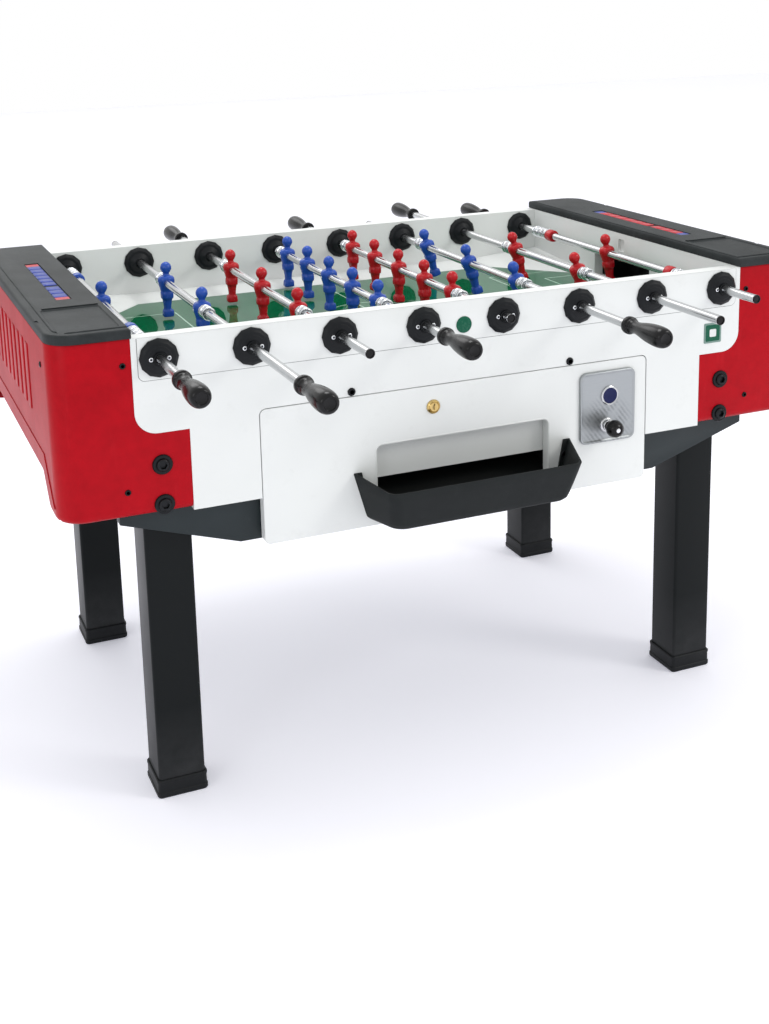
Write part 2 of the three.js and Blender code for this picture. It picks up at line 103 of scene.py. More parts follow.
# How far the men, the plain end and the handle are from the middle of the men, and how
# long the bumper springs are, for each kind of rod.
KINDS = {
    "keeper": {"men": (0,), "rings": 235, "stop": 246, "handle": 555, "plain": 503, "spring": 62},
    "defence": {"men": (-130, 130), "rings": 0, "stop": 143, "handle": 655, "plain": 597, "spring": 34},
    "attack": {"men": (-206, 0, 206), "rings": 0, "stop": 219, "handle": 585, "plain": 545, "spring": 34},
    "midfield": {
        "men": (-252, -126, 0, 126, 252), "rings": 0, "stop": 265, "handle": 523, "plain": 486,
        "spring": 34,
    },
}
ORDER = ("keeper", "defence", "attack", "midfield", "midfield", "attack", "defence", "keeper")


class Rod:
    """One rod at rest: its place, its kind, the side of its handle and the lean of its men."""

    def __init__(self, number):
        self.number = number
        self.kind = KINDS[ORDER[number - 1]]
        self.pivot = Vector(JOINTS[f"rod_{number}_spin"]["pos_m"])
        handle = Box(f"handle_{number}")
        self.side = -1 if handle.middle.y < 0 else 1
        self.team = "player_blue" if self.side < 0 else "player_red"
        vertices = [vertex.co for vertex in frame["nodes"][f"rod_{number}"].data.vertices]
        lowest = min(point.z for point in vertices)
        soles = [point.x for point in vertices if point.z < self.pivot.z - 0.06]
        middle = (min(soles) + max(soles)) / 2 - self.pivot.x
        self.lean = math.atan2(middle, self.pivot.z - (lowest + 3 * MM))

    def place(self, along=0.0):
        """The matrix that puts a piece made around the origin on this rod."""
        turn = Matrix.Rotation(-self.lean, 4, "Y")
        return Matrix.Translation(self.pivot) @ turn @ Matrix.Translation((0, along, 0))


RODS = [Rod(number) for number in range(1, ROD_COUNT + 1)]


# ---------------------------------------------------------------- node graphs

class Field:
    """A value in a node tree that can be used in ordinary arithmetic."""

    def __init__(self, graph, socket):
        self.graph = graph
        self.socket = socket

    def _math(self, operation, *others):
        node = self.graph.node("ShaderNodeMath", {"operation": operation},
                               {0: self, **dict(enumerate(others, 1))})
        return self.graph.out(node)

    def _reversed(self, operation, other):
        node = self.graph.node("ShaderNodeMath", {"operation": operation}, {0: other, 1: self})
        return self.graph.out(node)

    def __add__(self, other):
        return self._math("ADD", other)

    def __radd__(self, other):
        return self._reversed("ADD", other)

    def __sub__(self, other):
        return self._math("SUBTRACT", other)

    def __rsub__(self, other):
        return self._reversed("SUBTRACT", other)

    def __mul__(self, other):
        return self._math("MULTIPLY", other)

    def __rmul__(self, other):
        return self._reversed("MULTIPLY", other)

    def __truediv__(self, other):
        return self._math("DIVIDE", other)

    def __lt__(self, other):
        return self._math("LESS_THAN", other)

    def __gt__(self, other):
        return self._math("GREATER_THAN", other)

    def __abs__(self):
        return self._math("ABSOLUTE")

    def most(self, other):
        return self._math("MAXIMUM", other)

    def root(self):
        return self._math("SQRT")

    def wave(self):
        return self._math("SINE")

    def near(self, place, width):
        """1 within half the width of a place, and 0 elsewhere."""
        return abs(self - place) < width / 2

    def between(self, low, high):
        """0 below low, 1 above high and a straight rise between them."""
        settings = {"clamp": True}
        values = {"Value": self, "From Min": low, "From Max": high, "To Min": 0.0, "To Max": 1.0}
        return self.graph.out(self.graph.node("ShaderNodeMapRange", settings, values))


class Graph:
    """A node tree and the one method that adds nodes to it."""

    def __init__(self, tree):
        self.tree = tree

    def node(self, kind, settings=None, values=None):
        node = self.tree.nodes.new(kind)
        for name, setting in (settings or {}).items():
            setattr(node, name, setting)
        for key, value in (values or {}).items():
            self.feed(node.inputs[key], value)
        return node

    def feed(self, socket, value):
        if isinstance(value, Field):
            self.tree.links.new(value.socket, socket)
        elif isinstance(value, bpy.types.NodeSocket):
            self.tree.links.new(value, socket)
        else:
            socket.default_value = value

    def out(self, node, key=0):
        return Field(self, node.outputs[key])


class Finish(Graph):
    """A procedural material whose patterns follow the piece's own coordinates."""

    def __init__(self, name, base=(0.8, 0.8, 0.8)):
        self.material = bpy.data.materials.new(name)
        self.material.use_nodes = True
        self.material.diffuse_color = (*base[:3], 1)
        super().__init__(self.material.node_tree)
        self.shader = next(node for node in self.tree.nodes if node.type == "BSDF_PRINCIPLED")
        coordinates = self.tree.nodes.new("ShaderNodeTexCoord")
        self.place = Field(self, coordinates.outputs["Object"])

    def stretched(self, scale=(1, 1, 1), turn=(0, 0, 0), shift=(0, 0, 0)):
        values = {"Vector": self.place, "Scale": scale, "Rotation": turn, "Location": shift}
        return self.out(self.node("ShaderNodeMapping", None, values))

    def axes(self, vector=None):
        node = self.node("ShaderNodeSeparateXYZ", None, {0: vector or self.place})
        return [self.out(node, axis) for axis in range(3)]

    def noise(self, scale, detail=3.0, roughness=0.5, vector=None):
        values = {"Vector": vector or self.place, "Scale": scale, "Detail": detail,
                  "Roughness": roughness}
        return self.out(self.node("ShaderNodeTexNoise", None, values))

    def cells(self, scale, vector=None, feature="F1"):
        values = {"Vector": vector or self.place, "Scale": scale}
        return self.out(self.node("ShaderNodeTexVoronoi", {"feature": feature}, values))

    def mix(self, factor, first, second):
        def colour(value):
            return value if isinstance(value, Field) else (*value[:3], 1)
        node = self.node("ShaderNodeMix", {"data_type": "RGBA"},
                         {0: factor, 6: colour(first), 7: colour(second)})
        return self.out(node, 2)

    def bump(self, height, strength, distance=0.001):
        values = {"Height": height, "Strength": strength, "Distance": distance}
        self.tree.links.new(self.node("ShaderNodeBump", None, values).outputs[0],
                            self.shader.inputs["Normal"])

    def set(self, **values):
        """Shader inputs by name, such as Base_Color or Roughness."""
        for name, value in values.items():
            socket = self.shader.inputs[name.replace("_", " ")]
            if isinstance(value, tuple) and len(value) == 3:
                value = (*value, 1)
            self.feed(socket, value)
        return self.material


# ---------------------------------------------------------------- finishes

def laminate(name, colour, seed=0.0):
    """Satin laminate on board, with a faint orange peel and a few handling marks."""
    skin = Finish(name, colour)
    clouds = skin.noise(3.5, 4, vector=skin.stretched(shift=(seed, seed, 0)))
    marks = skin.noise(26, 6, 0.7).between(0.58, 0.78)
    dull = [channel * 0.9 for channel in colour]
    base = skin.mix(clouds.between(0.35, 0.75) * 0.6, colour, dull)
    base = skin.mix(marks * 0.14, base, (0.42, 0.42, 0.4))
    peel = skin.noise(520, 2)
    skin.bump(peel, 0.05, 0.0004)
    return skin.set(Base_Color=base, Roughness=0.27 + 0.14 * marks + 0.05 * clouds,
                    Specular_IOR_Level=0.5)


def moulded_plastic(name, colour, shade, roughness, grain, depth, scuffs=0.25, shine=0.4):
    """Moulded plastic with an even grain, slow colour drift and fine scuffs."""
    skin = Finish(name, colour)
    drift = skin.noise(9, 4)
    grit = skin.cells(grain)
    fine = skin.noise(grain * 1.7, 2)
    streaks = skin.noise(60, 5, 0.65, skin.stretched((1, 1, 0.18), (0.4, 0.2, 0.5))).between(0.6, 0.76)
    mottle = skin.noise(55, 5, 0.7)
    base = skin.mix((drift * 0.5 + mottle * 0.5).between(0.38, 0.62), colour, shade)
    base = skin.mix(streaks * scuffs * 0.5, base, [min(1, channel * 1.6 + 0.03) for channel in colour])
    skin.bump(grit * 0.6 + fine * 0.4, depth, 0.0006)
    skin.set(Specular_IOR_Level=shine)
    return skin.set(Base_Color=base, Roughness=roughness + 0.12 * drift + 0.25 * scuffs * streaks)


def pitch_glass(name, colour, line):
    """Dark green glass over a printed pitch: a halfway line, a centre circle and two boxes."""
    skin = Finish(name, colour)
    x, y, _ = skin.axes()
    width = 3.2 * MM
    far = abs(x)
    side = abs(y)
    circle = ((x * x + y * y).root()).near(95 * MM, width)
    halfway = x.near(0, width)
    box = PITCH_BOX
    lines = circle.most(halfway)
    for front, half in ((box["front"], box["half"]), (box["inner"], box["inner_half"])):
        ends = far.near(front, width) * (side < half)
        flanks = side.near(half, width) * (far > front)
        lines = lines.most(ends.most(flanks))
    wear = skin.noise(45, 5, 0.7)
    base = skin.mix(skin.noise(2.5, 2).between(0.3, 0.7) * 0.5, colour,
                    [channel * 0.75 for channel in colour])
    base = skin.mix(lines * (0.45 + 0.4 * wear), base, line)
    smears = skin.noise(14, 4, 0.6)
    skin.set(IOR=1.5, Specular_IOR_Level=0.5, Specular_Tint=(0.80, 1.0, 0.92, 1.0))
    return skin.set(Base_Color=base, Roughness=0.006 + 0.012 * smears.between(0.45, 0.75))


PITCH_BOX = {"front": 350 * MM, "half": 190 * MM, "inner": 452 * MM, "inner_half": 125 * MM}


def painted_board(name, colour, roughness=0.42):
    """Black lacquered board with a soft sheen and a few paler rubs."""
    skin = Finish(name, colour)
    cloud = skin.noise(6, 4)
    rubs = skin.noise(38, 6, 0.75).between(0.62, 0.8)
    base = skin.mix(cloud.between(0.3, 0.75) * 0.5, colour, [channel * 1.5 + 0.004 for channel in colour])
    base = skin.mix(rubs * 0.3, base, (0.07, 0.08, 0.08))
    skin.bump(skin.noise(420, 3), 0.08, 0.0005)
    return skin.set(Base_Color=base, Roughness=roughness + 0.14 * rubs + 0.08 * cloud,
                    Specular_IOR_Level=0.25)


def powder_coat(name, colour):
    """Powder-coated steel: a fine orange peel and a faint dust near the floor."""
    skin = Finish(name, colour)
    _, _, z = skin.axes()
    dust = (1 - z.between(0.02, 0.16)) * skin.noise(30, 5, 0.7)
    base = skin.mix(dust * 0.35, colour, (0.1, 0.1, 0.105))
    skin.bump(skin.noise(680, 2), 0.12, 0.0006)
    skin.set(Specular_IOR_Level=0.13)
    return skin.set(Base_Color=base, Roughness=0.34 + 0.2 * dust + 0.06 * skin.noise(18, 3))


def metal(name, colour, roughness, streak, turn=(0, 0, 0), depth=0.03):
    """Drawn or brushed metal, with fine streaks along one direction."""
    skin = Finish(name, colour)
    lines = skin.noise(90, 4, 0.6, skin.stretched(streak, turn))
    spots = skin.noise(70, 5, 0.7).between(0.58, 0.75)
    base = skin.mix(lines.between(0.3, 0.7) * 0.4, colour, [channel * 0.72 for channel in colour])
    skin.bump(lines, depth, 0.0003)
    return skin.set(Base_Color=base, Metallic=1.0, Roughness=roughness + 0.12 * lines + 0.12 * spots)


def engine_turned_steel(name, colour):
    """Bright steel plate with short diagonal brush marks laid in offset patches."""
    skin = Finish(name, colour)
    sweep = skin.noise(60, 3, 0.6, skin.stretched((1, 1, 14), (0, math.radians(38), 0)))
    x, _, z = skin.axes(skin.stretched((1, 1, 1), (0, math.radians(38), 0)))
    bands = (x * 900 + sweep * 5).wave() * 0.5 + 0.5
    away = ((skin.axes()[0] - KNOB.middle.x) * (skin.axes()[0] - KNOB.middle.x)
            + (skin.axes()[2] - KNOB.middle.z) * (skin.axes()[2] - KNOB.middle.z)).root()
    patch = skin.noise(34, 2).between(0.36, 0.54) * (1 - away.between(0.03, 0.06))
    base = skin.mix((bands * patch * 0.75 + 0.15 * sweep), colour, [channel * 0.5 for channel in colour])
    skin.bump(bands * patch + sweep * 0.4, 0.12, 0.0004)
    return skin.set(Base_Color=base, Metallic=0.85, Roughness=0.3 + 0.16 * sweep)


def gloss_figure(name, colour):
    """Glossy moulded figure with tiny pits and rubbed high spots."""
    skin = Finish(name, colour)
    rub = skin.noise(120, 5, 0.7).between(0.58, 0.75)
    base = skin.mix(skin.noise(60, 3).between(0.3, 0.7) * 0.35, colour,
                    [channel * 0.7 for channel in colour])
    base = skin.mix(rub * 0.12, base, [min(1, channel + 0.18) for channel in colour])
    skin.bump(skin.noise(900, 2), 0.05, 0.0003)
    return skin.set(Base_Color=base, Roughness=0.24 + 0.18 * rub, Specular_IOR_Level=0.32)


def print_ink(name, colour, roughness=0.3):
    """Printed sticker or inlay with slightly uneven ink."""
    skin = Finish(name, colour)
    ink = skin.noise(240, 4, 0.7)
    base = skin.mix(ink.between(0.4, 0.8) * 0.3, colour,
                    [min(1, channel * 1.5 + 0.02) for channel in colour])
    skin.bump(ink, 0.03, 0.0002)
    return skin.set(Base_Color=base, Roughness=roughness + 0.1 * ink, Specular_IOR_Level=0.2)


def pale_floor(name, colour):
    """Seamless studio paper with a barely visible tooth."""
    skin = Finish(name, colour)
    tooth = skin.noise(30, 3)
    base = skin.mix(tooth * 0.15, colour, [channel * 0.97 for channel in colour])
    skin.set(Emission_Color=(0.86, 0.87, 1.0), Emission_Strength=0.27)
    return skin.set(Base_Color=base, Roughness=0.75 + 0.1 * tooth, Specular_IOR_Level=0.0)


FINISHES = {}


def make_finishes(tones):
    """Every finish on the table, by the name of the record's material slot."""
    FINISHES.update({
        "white_laminate": laminate("white_laminate", tuple(tones.white)),
        "grey_laminate": laminate("grey_laminate", tuple(0.93 * channel for channel in tones.white), 3.0),
        "red_cover": moulded_plastic(
            "red_cover", tuple(tones.cover), tuple(0.82 * channel for channel in tones.cover), 0.34, 700,
            0.09, 0.2, 0.09,
        ),
        "dark_cap": moulded_plastic(
            "dark_cap", tuple(tones.cap), tuple(0.6 * channel for channel in tones.cap), 0.5, 620, 0.5,
            0.5, 0.2,
        ),
        "green_glass": pitch_glass("green_glass", tuple(tones.glass), (0.55, 0.75, 0.62)),
        "black_board": painted_board("black_board", (0.013, 0.019, 0.021)),
        "leg_black": powder_coat("leg_black", (0.0045, 0.006, 0.0065)),
        "black_plastic": moulded_plastic(
            "black_plastic", (0.006, 0.0075, 0.009), (0.004, 0.005, 0.0065), 0.36, 900, 0.16, 0.3, 0.2,
        ),
        "tray_plastic": moulded_plastic(
            "tray_plastic", (0.009, 0.0115, 0.0118), (0.0065, 0.0085, 0.009), 0.52, 800, 0.3, 0.35, 0.2,
        ),
        "brushed_steel": engine_turned_steel("brushed_steel", (0.36, 0.38, 0.39)),
        "grip_black": moulded_plastic(
            "grip_black", (0.005, 0.005, 0.0055), (0.0035, 0.0035, 0.004), 0.17, 1000, 0.08, 0.3, 0.24,
        ),
        "lock_brass": metal("lock_brass", (0.62, 0.45, 0.18), 0.22, (1, 6, 1)),
        "rod_chrome": metal("rod_chrome", (0.56, 0.57, 0.58), 0.13, (3, 0.12, 3)),
        "spring_chrome": metal("spring_chrome", (0.83, 0.85, 0.88), 0.13, (1, 1, 1)),
        "player_blue": gloss_figure("player_blue", tuple(tones.blue_team)),
        "player_red": gloss_figure("player_red", tuple(tones.red_team)),
        "screw_black": metal("screw_black", (0.025, 0.026, 0.028), 0.32, (1, 1, 1)),
        "screw_steel": metal("screw_steel", (0.8, 0.82, 0.84), 0.22, (1, 1, 1)),
        "foot_rubber": moulded_plastic(
            "foot_rubber", (0.0055, 0.0065, 0.0075), (0.004, 0.005, 0.006), 0.45, 760, 0.3, 0.3, 0.22,
        ),
        "blue_print": print_ink("blue_print", (0.012, 0.035, 0.26)),
        "red_print": print_ink("red_print", (0.42, 0.012, 0.025)),
        "button_navy": print_ink("button_navy", (0.004, 0.008, 0.06)),
        "green_print": print_ink("green_print", (0.003, 0.085, 0.045), 0.22),
        "grey_print": print_ink("grey_print", (0.16, 0.25, 0.22), 0.3),
        # black board darkened further: painted shade for the goal pockets and the drawer box
        "cavity_black": painted_board("cavity_black", (0.006, 0.007, 0.007), 0.6),
        # dark grey for the sheet round the bearing strips: a painted shadow along their edges
        "seam": print_ink("seam", (0.16, 0.17, 0.17), 0.6),
    })


# ---------------------------------------------------------------- mesh helpers

def new_object(name, mesh):
    thing = bpy.data.objects.new(name, mesh)
    bpy.context.scene.collection.objects.link(thing)
    return thing


def from_bmesh(name, work, smooth=None):
    """A mesh object from a bmesh, its faces outward, smooth below an angle in degrees."""
    bmesh.ops.remove_doubles(work, verts=work.verts, dist=1e-6)
    bmesh.ops.recalc_face_normals(work, faces=work.faces)
    mesh = bpy.data.meshes.new(name)
    work.to_mesh(mesh)
    work.free()
    mesh.shade_smooth()
    if smooth is not None:
        mesh.set_sharp_from_angle(angle=math.radians(smooth))
    return new_object(name, mesh)


def bake(thing):
    """Replaces an object's mesh by its evaluated mesh and removes the modifiers."""
    graph = bpy.context.evaluated_depsgraph_get()
    mesh = bpy.data.meshes.new_from_object(thing.evaluated_get(graph))
    old = thing.data
    thing.modifiers.clear()
    thing.data = mesh
    bpy.data.meshes.remove(old)
    return thing


def soften(thing, width, segments=2, angle=32):
    """Rounds every sharp edge of a piece."""
    bevel = thing.modifiers.new("bevel", "BEVEL")
    bevel.width = width
    bevel.segments = segments
    bevel.limit_method = "ANGLE"
    bevel.angle_limit = math.radians(angle)
    bevel.harden_normals = True
    return bake(thing)


def carve(thing, *cutters):
    """Cuts other closed pieces out of a piece, and removes them."""
    for cutter in cutters:
        cut = thing.modifiers.new("cut", "BOOLEAN")
        cut.operation = "DIFFERENCE"
        cut.solver = "EXACT"
        cut.object = cutter
    bake(thing)
    for cutter in cutters:
        bpy.data.objects.remove(cutter)
    return thing


def bridge(work, rings, closed=True):
    """Faces between rings of points that all have the same count, with both ends filled."""
    loops = [[work.verts.new(point) for point in ring] for ring in rings]
    count = len(loops[0])
    for below, above in zip(loops, loops[1:]):
        for index in range(count):
            after = (index + 1) % count
            work.faces.new((below[index], below[after], above[after], above[index]))
    if closed:
        work.faces.new(loops[0])
        work.faces.new(loops[-1])
    return loops


def arc(centre_u, centre_v, radius, start, end, steps):
    """Points on an arc, angles in degrees, both ends included."""
    points = []
    for step in range(steps + 1):
        angle = math.radians(start + (end - start) * step / steps)
        points.append((centre_u + radius * math.cos(angle), centre_v + radius * math.sin(angle)))
    return points


def rounded(u0, u1, v0, v1, radius, steps=6):
    """A rectangle with round corners, anticlockwise."""
    radius = max(radius, 1e-5)
    points = arc(u1 - radius, v0 + radius, radius, -90, 0, steps)
    points += arc(u1 - radius, v1 - radius, radius, 0, 90, steps)
    points += arc(u0 + radius, v1 - radius, radius, 90, 180, steps)
    points += arc(u0 + radius, v0 + radius, radius, 180, 270, steps)
    return points


def hole_points(centre_u, centre_v, radius, count=24):
    """Points all the way round, anticlockwise."""
    angles = [FULL_TURN * index / count for index in range(count)]
    return [(centre_u + radius * math.cos(angle), centre_v + radius * math.sin(angle)) for angle in angles]


def upright(points, y):
    """Points drawn on X and Z, as seen from the front, at one place along Y."""
    return [Vector((u, y, v)) for u, v in points]


def level(points, z):
    """Points drawn on X and Y, as seen from above, at one height."""
    return [Vector((u, v, z)) for u, v in points]


def slab(name, points, lay, start, end):
    """A prism over an outline, between two places across it."""
    work = bmesh.new()
    bridge(work, [lay(points, start), lay(points, end)])
    return from_bmesh(name, work)


def stepped(name, outline, lay, profile, smooth=35):
    """A plate whose outline shrinks as it rises: outline(inset) at each [inset, place] of a profile."""
    work = bmesh.new()
    bridge(work, [lay(outline(inset), place) for inset, place in profile])
    return from_bmesh(name, work, smooth)


def block(name, low, high):
    return slab(name, rounded(low[0], high[0], low[1], high[1], 0, 1), level, low[2], high[2])


def turned(name, profile, segments=48, smooth=35, matrix=None):
    """A profile of (radius, distance) points turned about the Y axis, closed at both ends."""
    work = bmesh.new()
    rings = []
    for radius, along in profile:
        ring = []
        for index in range(segments):
            angle = FULL_TURN * index / segments
            ring.append(Vector((radius * math.cos(angle), along, radius * math.sin(angle))))
        rings.append(ring)
    bridge(work, rings)
    if matrix is not None:
        work.transform(matrix)
    return from_bmesh(name, work, smooth)


def curve_through(points, steps=6):
    """A smooth run of points through a few given ones."""
    padded = [points[0], *points, points[-1]]
    run = []
    for a, b, c, d in zip(padded, padded[1:], padded[2:], padded[3:]):
        for step in range(steps):
            t = step / steps
            run.append(tuple(
                0.5 * (2 * q + (r - p) * t + (2 * p - 5 * q + 4 * r - s) * t * t
                       + (3 * q - p - 3 * r + s) * t ** 3)
                for p, q, r, s in zip(a, b, c, d)
            ))
    run.append(points[-1])
    return run


def settle(thing, body, finish, *nodes):
    """Gives a finished piece its material, its body and the CAD nodes it stands for."""
    if not thing.data.materials:
        thing.data.materials.append(FINISHES[finish])
    else:
        thing.data.materials[0] = FINISHES[finish]
    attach(thing, body)
    if nodes:
        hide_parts(*nodes)
    return thing


def mirrored(points, side):
    """An outline mirrored to the left side when side is -1, still anticlockwise."""
    if side > 0:
        return points
    return [(-u, v) for u, v in reversed(points)]


# ---------------------------------------------------------------- geometry node trees

class Growth(Graph):
    """A geometry node tree with named inputs, which ends in Realize Instances and Set Material."""

    def __init__(self, name, inputs):
        super().__init__(bpy.data.node_groups.new(name, "GeometryNodeTree"))
        self.tree.interface.new_socket("Geometry", in_out="INPUT", socket_type="NodeSocketGeometry")
        self.tree.interface.new_socket("Geometry", in_out="OUTPUT", socket_type="NodeSocketGeometry")
        for label, kind in inputs.items():
            self.tree.interface.new_socket(label, in_out="INPUT", socket_type=kind)
        self.tree.interface.new_socket("Material", in_out="INPUT", socket_type="NodeSocketMaterial")
        self.inputs = self.tree.nodes.new("NodeGroupInput")
        self.result = self.tree.nodes.new("NodeGroupOutput")

    def given(self, label):
        return Field(self, self.inputs.outputs[label])

    def finish(self, geometry):
        realized = self.node("GeometryNodeRealizeInstances", None, {0: geometry})
        painted = self.node(
            "GeometryNodeSetMaterial", None,
            {"Geometry": realized.outputs[0], "Material": self.given("Material")},
        )
        self.tree.links.new(painted.outputs[0], self.result.inputs[0])
        return self.tree


def grow(name, tree, values, finish, seeds=None, smooth=40):
    """Runs a geometry node tree once and returns its result as a plain mesh object."""
    carrier = new_object(name, seeds or bpy.data.meshes.new(name))
    modifier = carrier.modifiers.new("growth", "NODES")
    modifier.node_group = tree
    sockets = {item.name: item.identifier for item in tree.interface.items_tree if item.in_out == "INPUT"}
    for label, value in {**values, "Material": FINISHES[finish]}.items():
        modifier[sockets[label]] = value
    bake(carrier)
    carrier.data.shade_smooth()
    carrier.data.set_sharp_from_angle(angle=math.radians(smooth))
    return carrier


def coil_tree():
    """A round-wire spring on each side of the middle of a rod."""
    tree = Growth("coil_pair", {
        "Radius": "NodeSocketFloat", "Wire": "NodeSocketFloat", "Length": "NodeSocketFloat",
        "Turns": "NodeSocketFloat", "Start": "NodeSocketFloat", "Place": "NodeSocketVector",
    })
    mean = tree.given("Radius") - tree.given("Wire")
    spiral = tree.node("GeometryNodeCurveSpiral", None, {
        "Resolution": 18, "Rotations": tree.given("Turns"), "Start Radius": mean, "End Radius": mean,
        "Height": tree.given("Length") - 2 * tree.given("Wire"), "Reverse": False,
    })
    wire = tree.node("GeometryNodeCurvePrimitiveCircle", None,
                     {"Resolution": 8, "Radius": tree.given("Wire")})
    swept = tree.node("GeometryNodeCurveToMesh", None, {
        "Curve": spiral.outputs[0], "Profile Curve": wire.outputs[0], "Fill Caps": True,
    })
    sides = tree.node("GeometryNodeJoinGeometry")
    start = tree.given("Start") + tree.given("Wire")
    for turn, sign in ((-90, 1), (90, -1)):
        offset = tree.node("ShaderNodeCombineXYZ", None, {"Y": start * sign})
        laid = tree.node("GeometryNodeTransform", None, {
            "Geometry": swept.outputs[0], "Translation": offset.outputs[0],
            "Rotation": (math.radians(turn), 0, 0),
        })
        moved = tree.node("GeometryNodeTransform", None, {
            "Geometry": laid.outputs[0], "Translation": tree.given("Place"),
        })
        tree.tree.links.new(moved.outputs[0], sides.inputs[0])
    return tree.finish(sides.outputs[0])


def scatter_tree():
    """Copies of one head on points, each turned to its own facing direction."""
    tree = Growth("heads_on_points", {"Head": "NodeSocketObject", "Size": "NodeSocketFloat"})
    head = tree.node("GeometryNodeObjectInfo", None, {"Object": tree.given("Head"), "As Instance": True})
    facing = tree.node("GeometryNodeInputNamedAttribute", {"data_type": "FLOAT_VECTOR"},
                       {"Name": "facing"})
    turned_to = tree.node("FunctionNodeAlignRotationToVector", {"axis": "Y"},
                          {"Vector": facing.outputs[0]})
    heads = tree.node("GeometryNodeInstanceOnPoints", None, {
        "Points": tree.given("Geometry"), "Instance": head.outputs["Geometry"],
        "Rotation": turned_to.outputs[0],
        "Scale": tree.given("Size"),
    })
    return tree.finish(heads.outputs[0])


def row_tree():
    """A row of round-edged bars along Y, raised on a face that looks along X."""
    tree = Growth("bar_row", {
        "Count": "NodeSocketInt", "Pitch": "NodeSocketVector", "Bar": "NodeSocketObject",
        "Place": "NodeSocketVector",
    })
    line = tree.node("GeometryNodeMeshLine", None, {
        "Count": tree.given("Count"), "Start Location": tree.given("Place"),
        "Offset": tree.given("Pitch"),
    })
    bar = tree.node("GeometryNodeObjectInfo", None, {"Object": tree.given("Bar"), "As Instance": True})
    bars = tree.node("GeometryNodeInstanceOnPoints", None, {
        "Points": line.outputs[0], "Instance": bar.outputs["Geometry"],
    })
    return tree.finish(bars.outputs[0])


def points_mesh(name, places):
    """A mesh of loose points, each with a facing direction."""
    mesh = bpy.data.meshes.new(name)
    mesh.from_pydata([place for place, _ in places], [], [])
    facing = mesh.attributes.new("facing", "FLOAT_VECTOR", "POINT")
    facing.data.foreach_set("vector", [value for _, direction in places for value in direction])
    return mesh


def screw_head(name, radius, height, socket_radius, sides=6, segments=28):
    """A domed head around the origin, looking along +Y, with a sided socket."""
    work = bmesh.new()
    rings = []
    for share, rise in ((1.0, 0.0), (1.0, 0.35), (0.93, 0.7), (0.78, 0.95), (0.64, 1.0)):
        rings.append([
            Vector((radius * share * math.cos(FULL_TURN * i / segments), height * rise,
                    radius * share * math.sin(FULL_TURN * i / segments)))
            for i in range(segments)
        ])
    def socket_ring(scale, depth):
        ring = []
        for index in range(segments):
            angle = FULL_TURN * index / segments
            part = (angle % (FULL_TURN / sides)) - math.pi / sides
            reach = scale * socket_radius * math.cos(math.pi / sides) / math.cos(part)
            ring.append(Vector((reach * math.cos(angle), depth, reach * math.sin(angle))))
        return ring
    rings.append(socket_ring(1.0, height))
    rings.append(socket_ring(0.94, -height * 0.3))
    bridge(work, rings)
    return from_bmesh(name, work, 38)


# ---------------------------------------------------------------- settings

class FootballSettings(bpy.types.PropertyGroup):
    """Sizes and colours that a maker would change."""

    edge: bpy.props.FloatProperty(name="Board edge", description="Rounding of the board edges",
                                  default=1.2 * MM, unit="LENGTH")
    cover_edge: bpy.props.FloatProperty(
        name="Cover edge", description="Rounding of the moulded cover edges", default=2.5 * MM,
        unit="LENGTH",
    )
    cap_edge: bpy.props.FloatProperty(
        name="Cap edge", description="Rounding of the top cap's rim", default=5 * MM, unit="LENGTH",
    )
    spring_radius: bpy.props.FloatProperty(
        name="Spring radius", description="Outer radius of the bumper springs", default=12.6 * MM,
        unit="LENGTH",
    )
    spring_wire: bpy.props.FloatProperty(
        name="Spring wire", description="Radius of the spring wire", default=1.4 * MM, unit="LENGTH",
    )
    spring_pitch: bpy.props.FloatProperty(
        name="Spring pitch", description="Rise of one turn of a spring", default=6.2 * MM, unit="LENGTH",
    )
    bolt_radius: bpy.props.FloatProperty(
        name="Leg bolt radius", description="Radius of the big leg bolts' washers", default=16.5 * MM,
        unit="LENGTH",
    )
    white: bpy.props.FloatVectorProperty(
        name="White", description="Laminate colour", default=(0.715, 0.736, 0.724), subtype="COLOR",
    )
    cover: bpy.props.FloatVectorProperty(
        name="Cover red", description="Colour of the end covers", default=(0.40, 0.0022, 0.0085),
        subtype="COLOR",
    )
    cap: bpy.props.FloatVectorProperty(
        name="Cap slate", description="Colour of the top caps", default=(0.025, 0.030, 0.032),
        subtype="COLOR",
    )
    glass: bpy.props.FloatVectorProperty(
        name="Glass green", description="Colour under the glass", default=(0.003, 0.115, 0.045),
        subtype="COLOR",
    )
    blue_team: bpy.props.FloatVectorProperty(
        name="Blue team", description="Colour of the blue men", default=(0.016, 0.073, 0.40),
        subtype="COLOR",
    )
    red_team: bpy.props.FloatVectorProperty(
        name="Red team", description="Colour of the red men", default=(0.46, 0.006, 0.012),
        subtype="COLOR",
    )


def settings():
    return bpy.context.scene.football


# ---------------------------------------------------------------- cabinet

def panel_outline(grow=0.0):
    """The stepped outline of a long panel, wide above the step and narrow below it."""
    wide = PANEL.high.x + grow
    narrow = NARROW + grow
    ledge = STEP - grow
    radius = STEP_RADIUS + grow
    points = [(-narrow, PANEL.low.z - grow), (narrow, PANEL.low.z - grow), (narrow, ledge)]
    points += arc(wide - radius, ledge + radius, radius, -90, 0, 12)
    points += [(wide, TOP + grow), (-wide, TOP + grow)]
    points += arc(-wide + radius, ledge + radius, radius, 180, 270, 12)
    points.append((-narrow, ledge))
    return points


# radii of the holes through the panels and the door
HOLES = {"axle": 14.3 * MM, "lock": 10.6 * MM, "knob": 6.4 * MM}


def axle_hole(rod):
    edge = hole_points(rod.pivot.x, ROD_HEIGHT, HOLES["axle"])
    return slab("hole", edge, upright, -FACE - 0.01, FACE + 0.01)


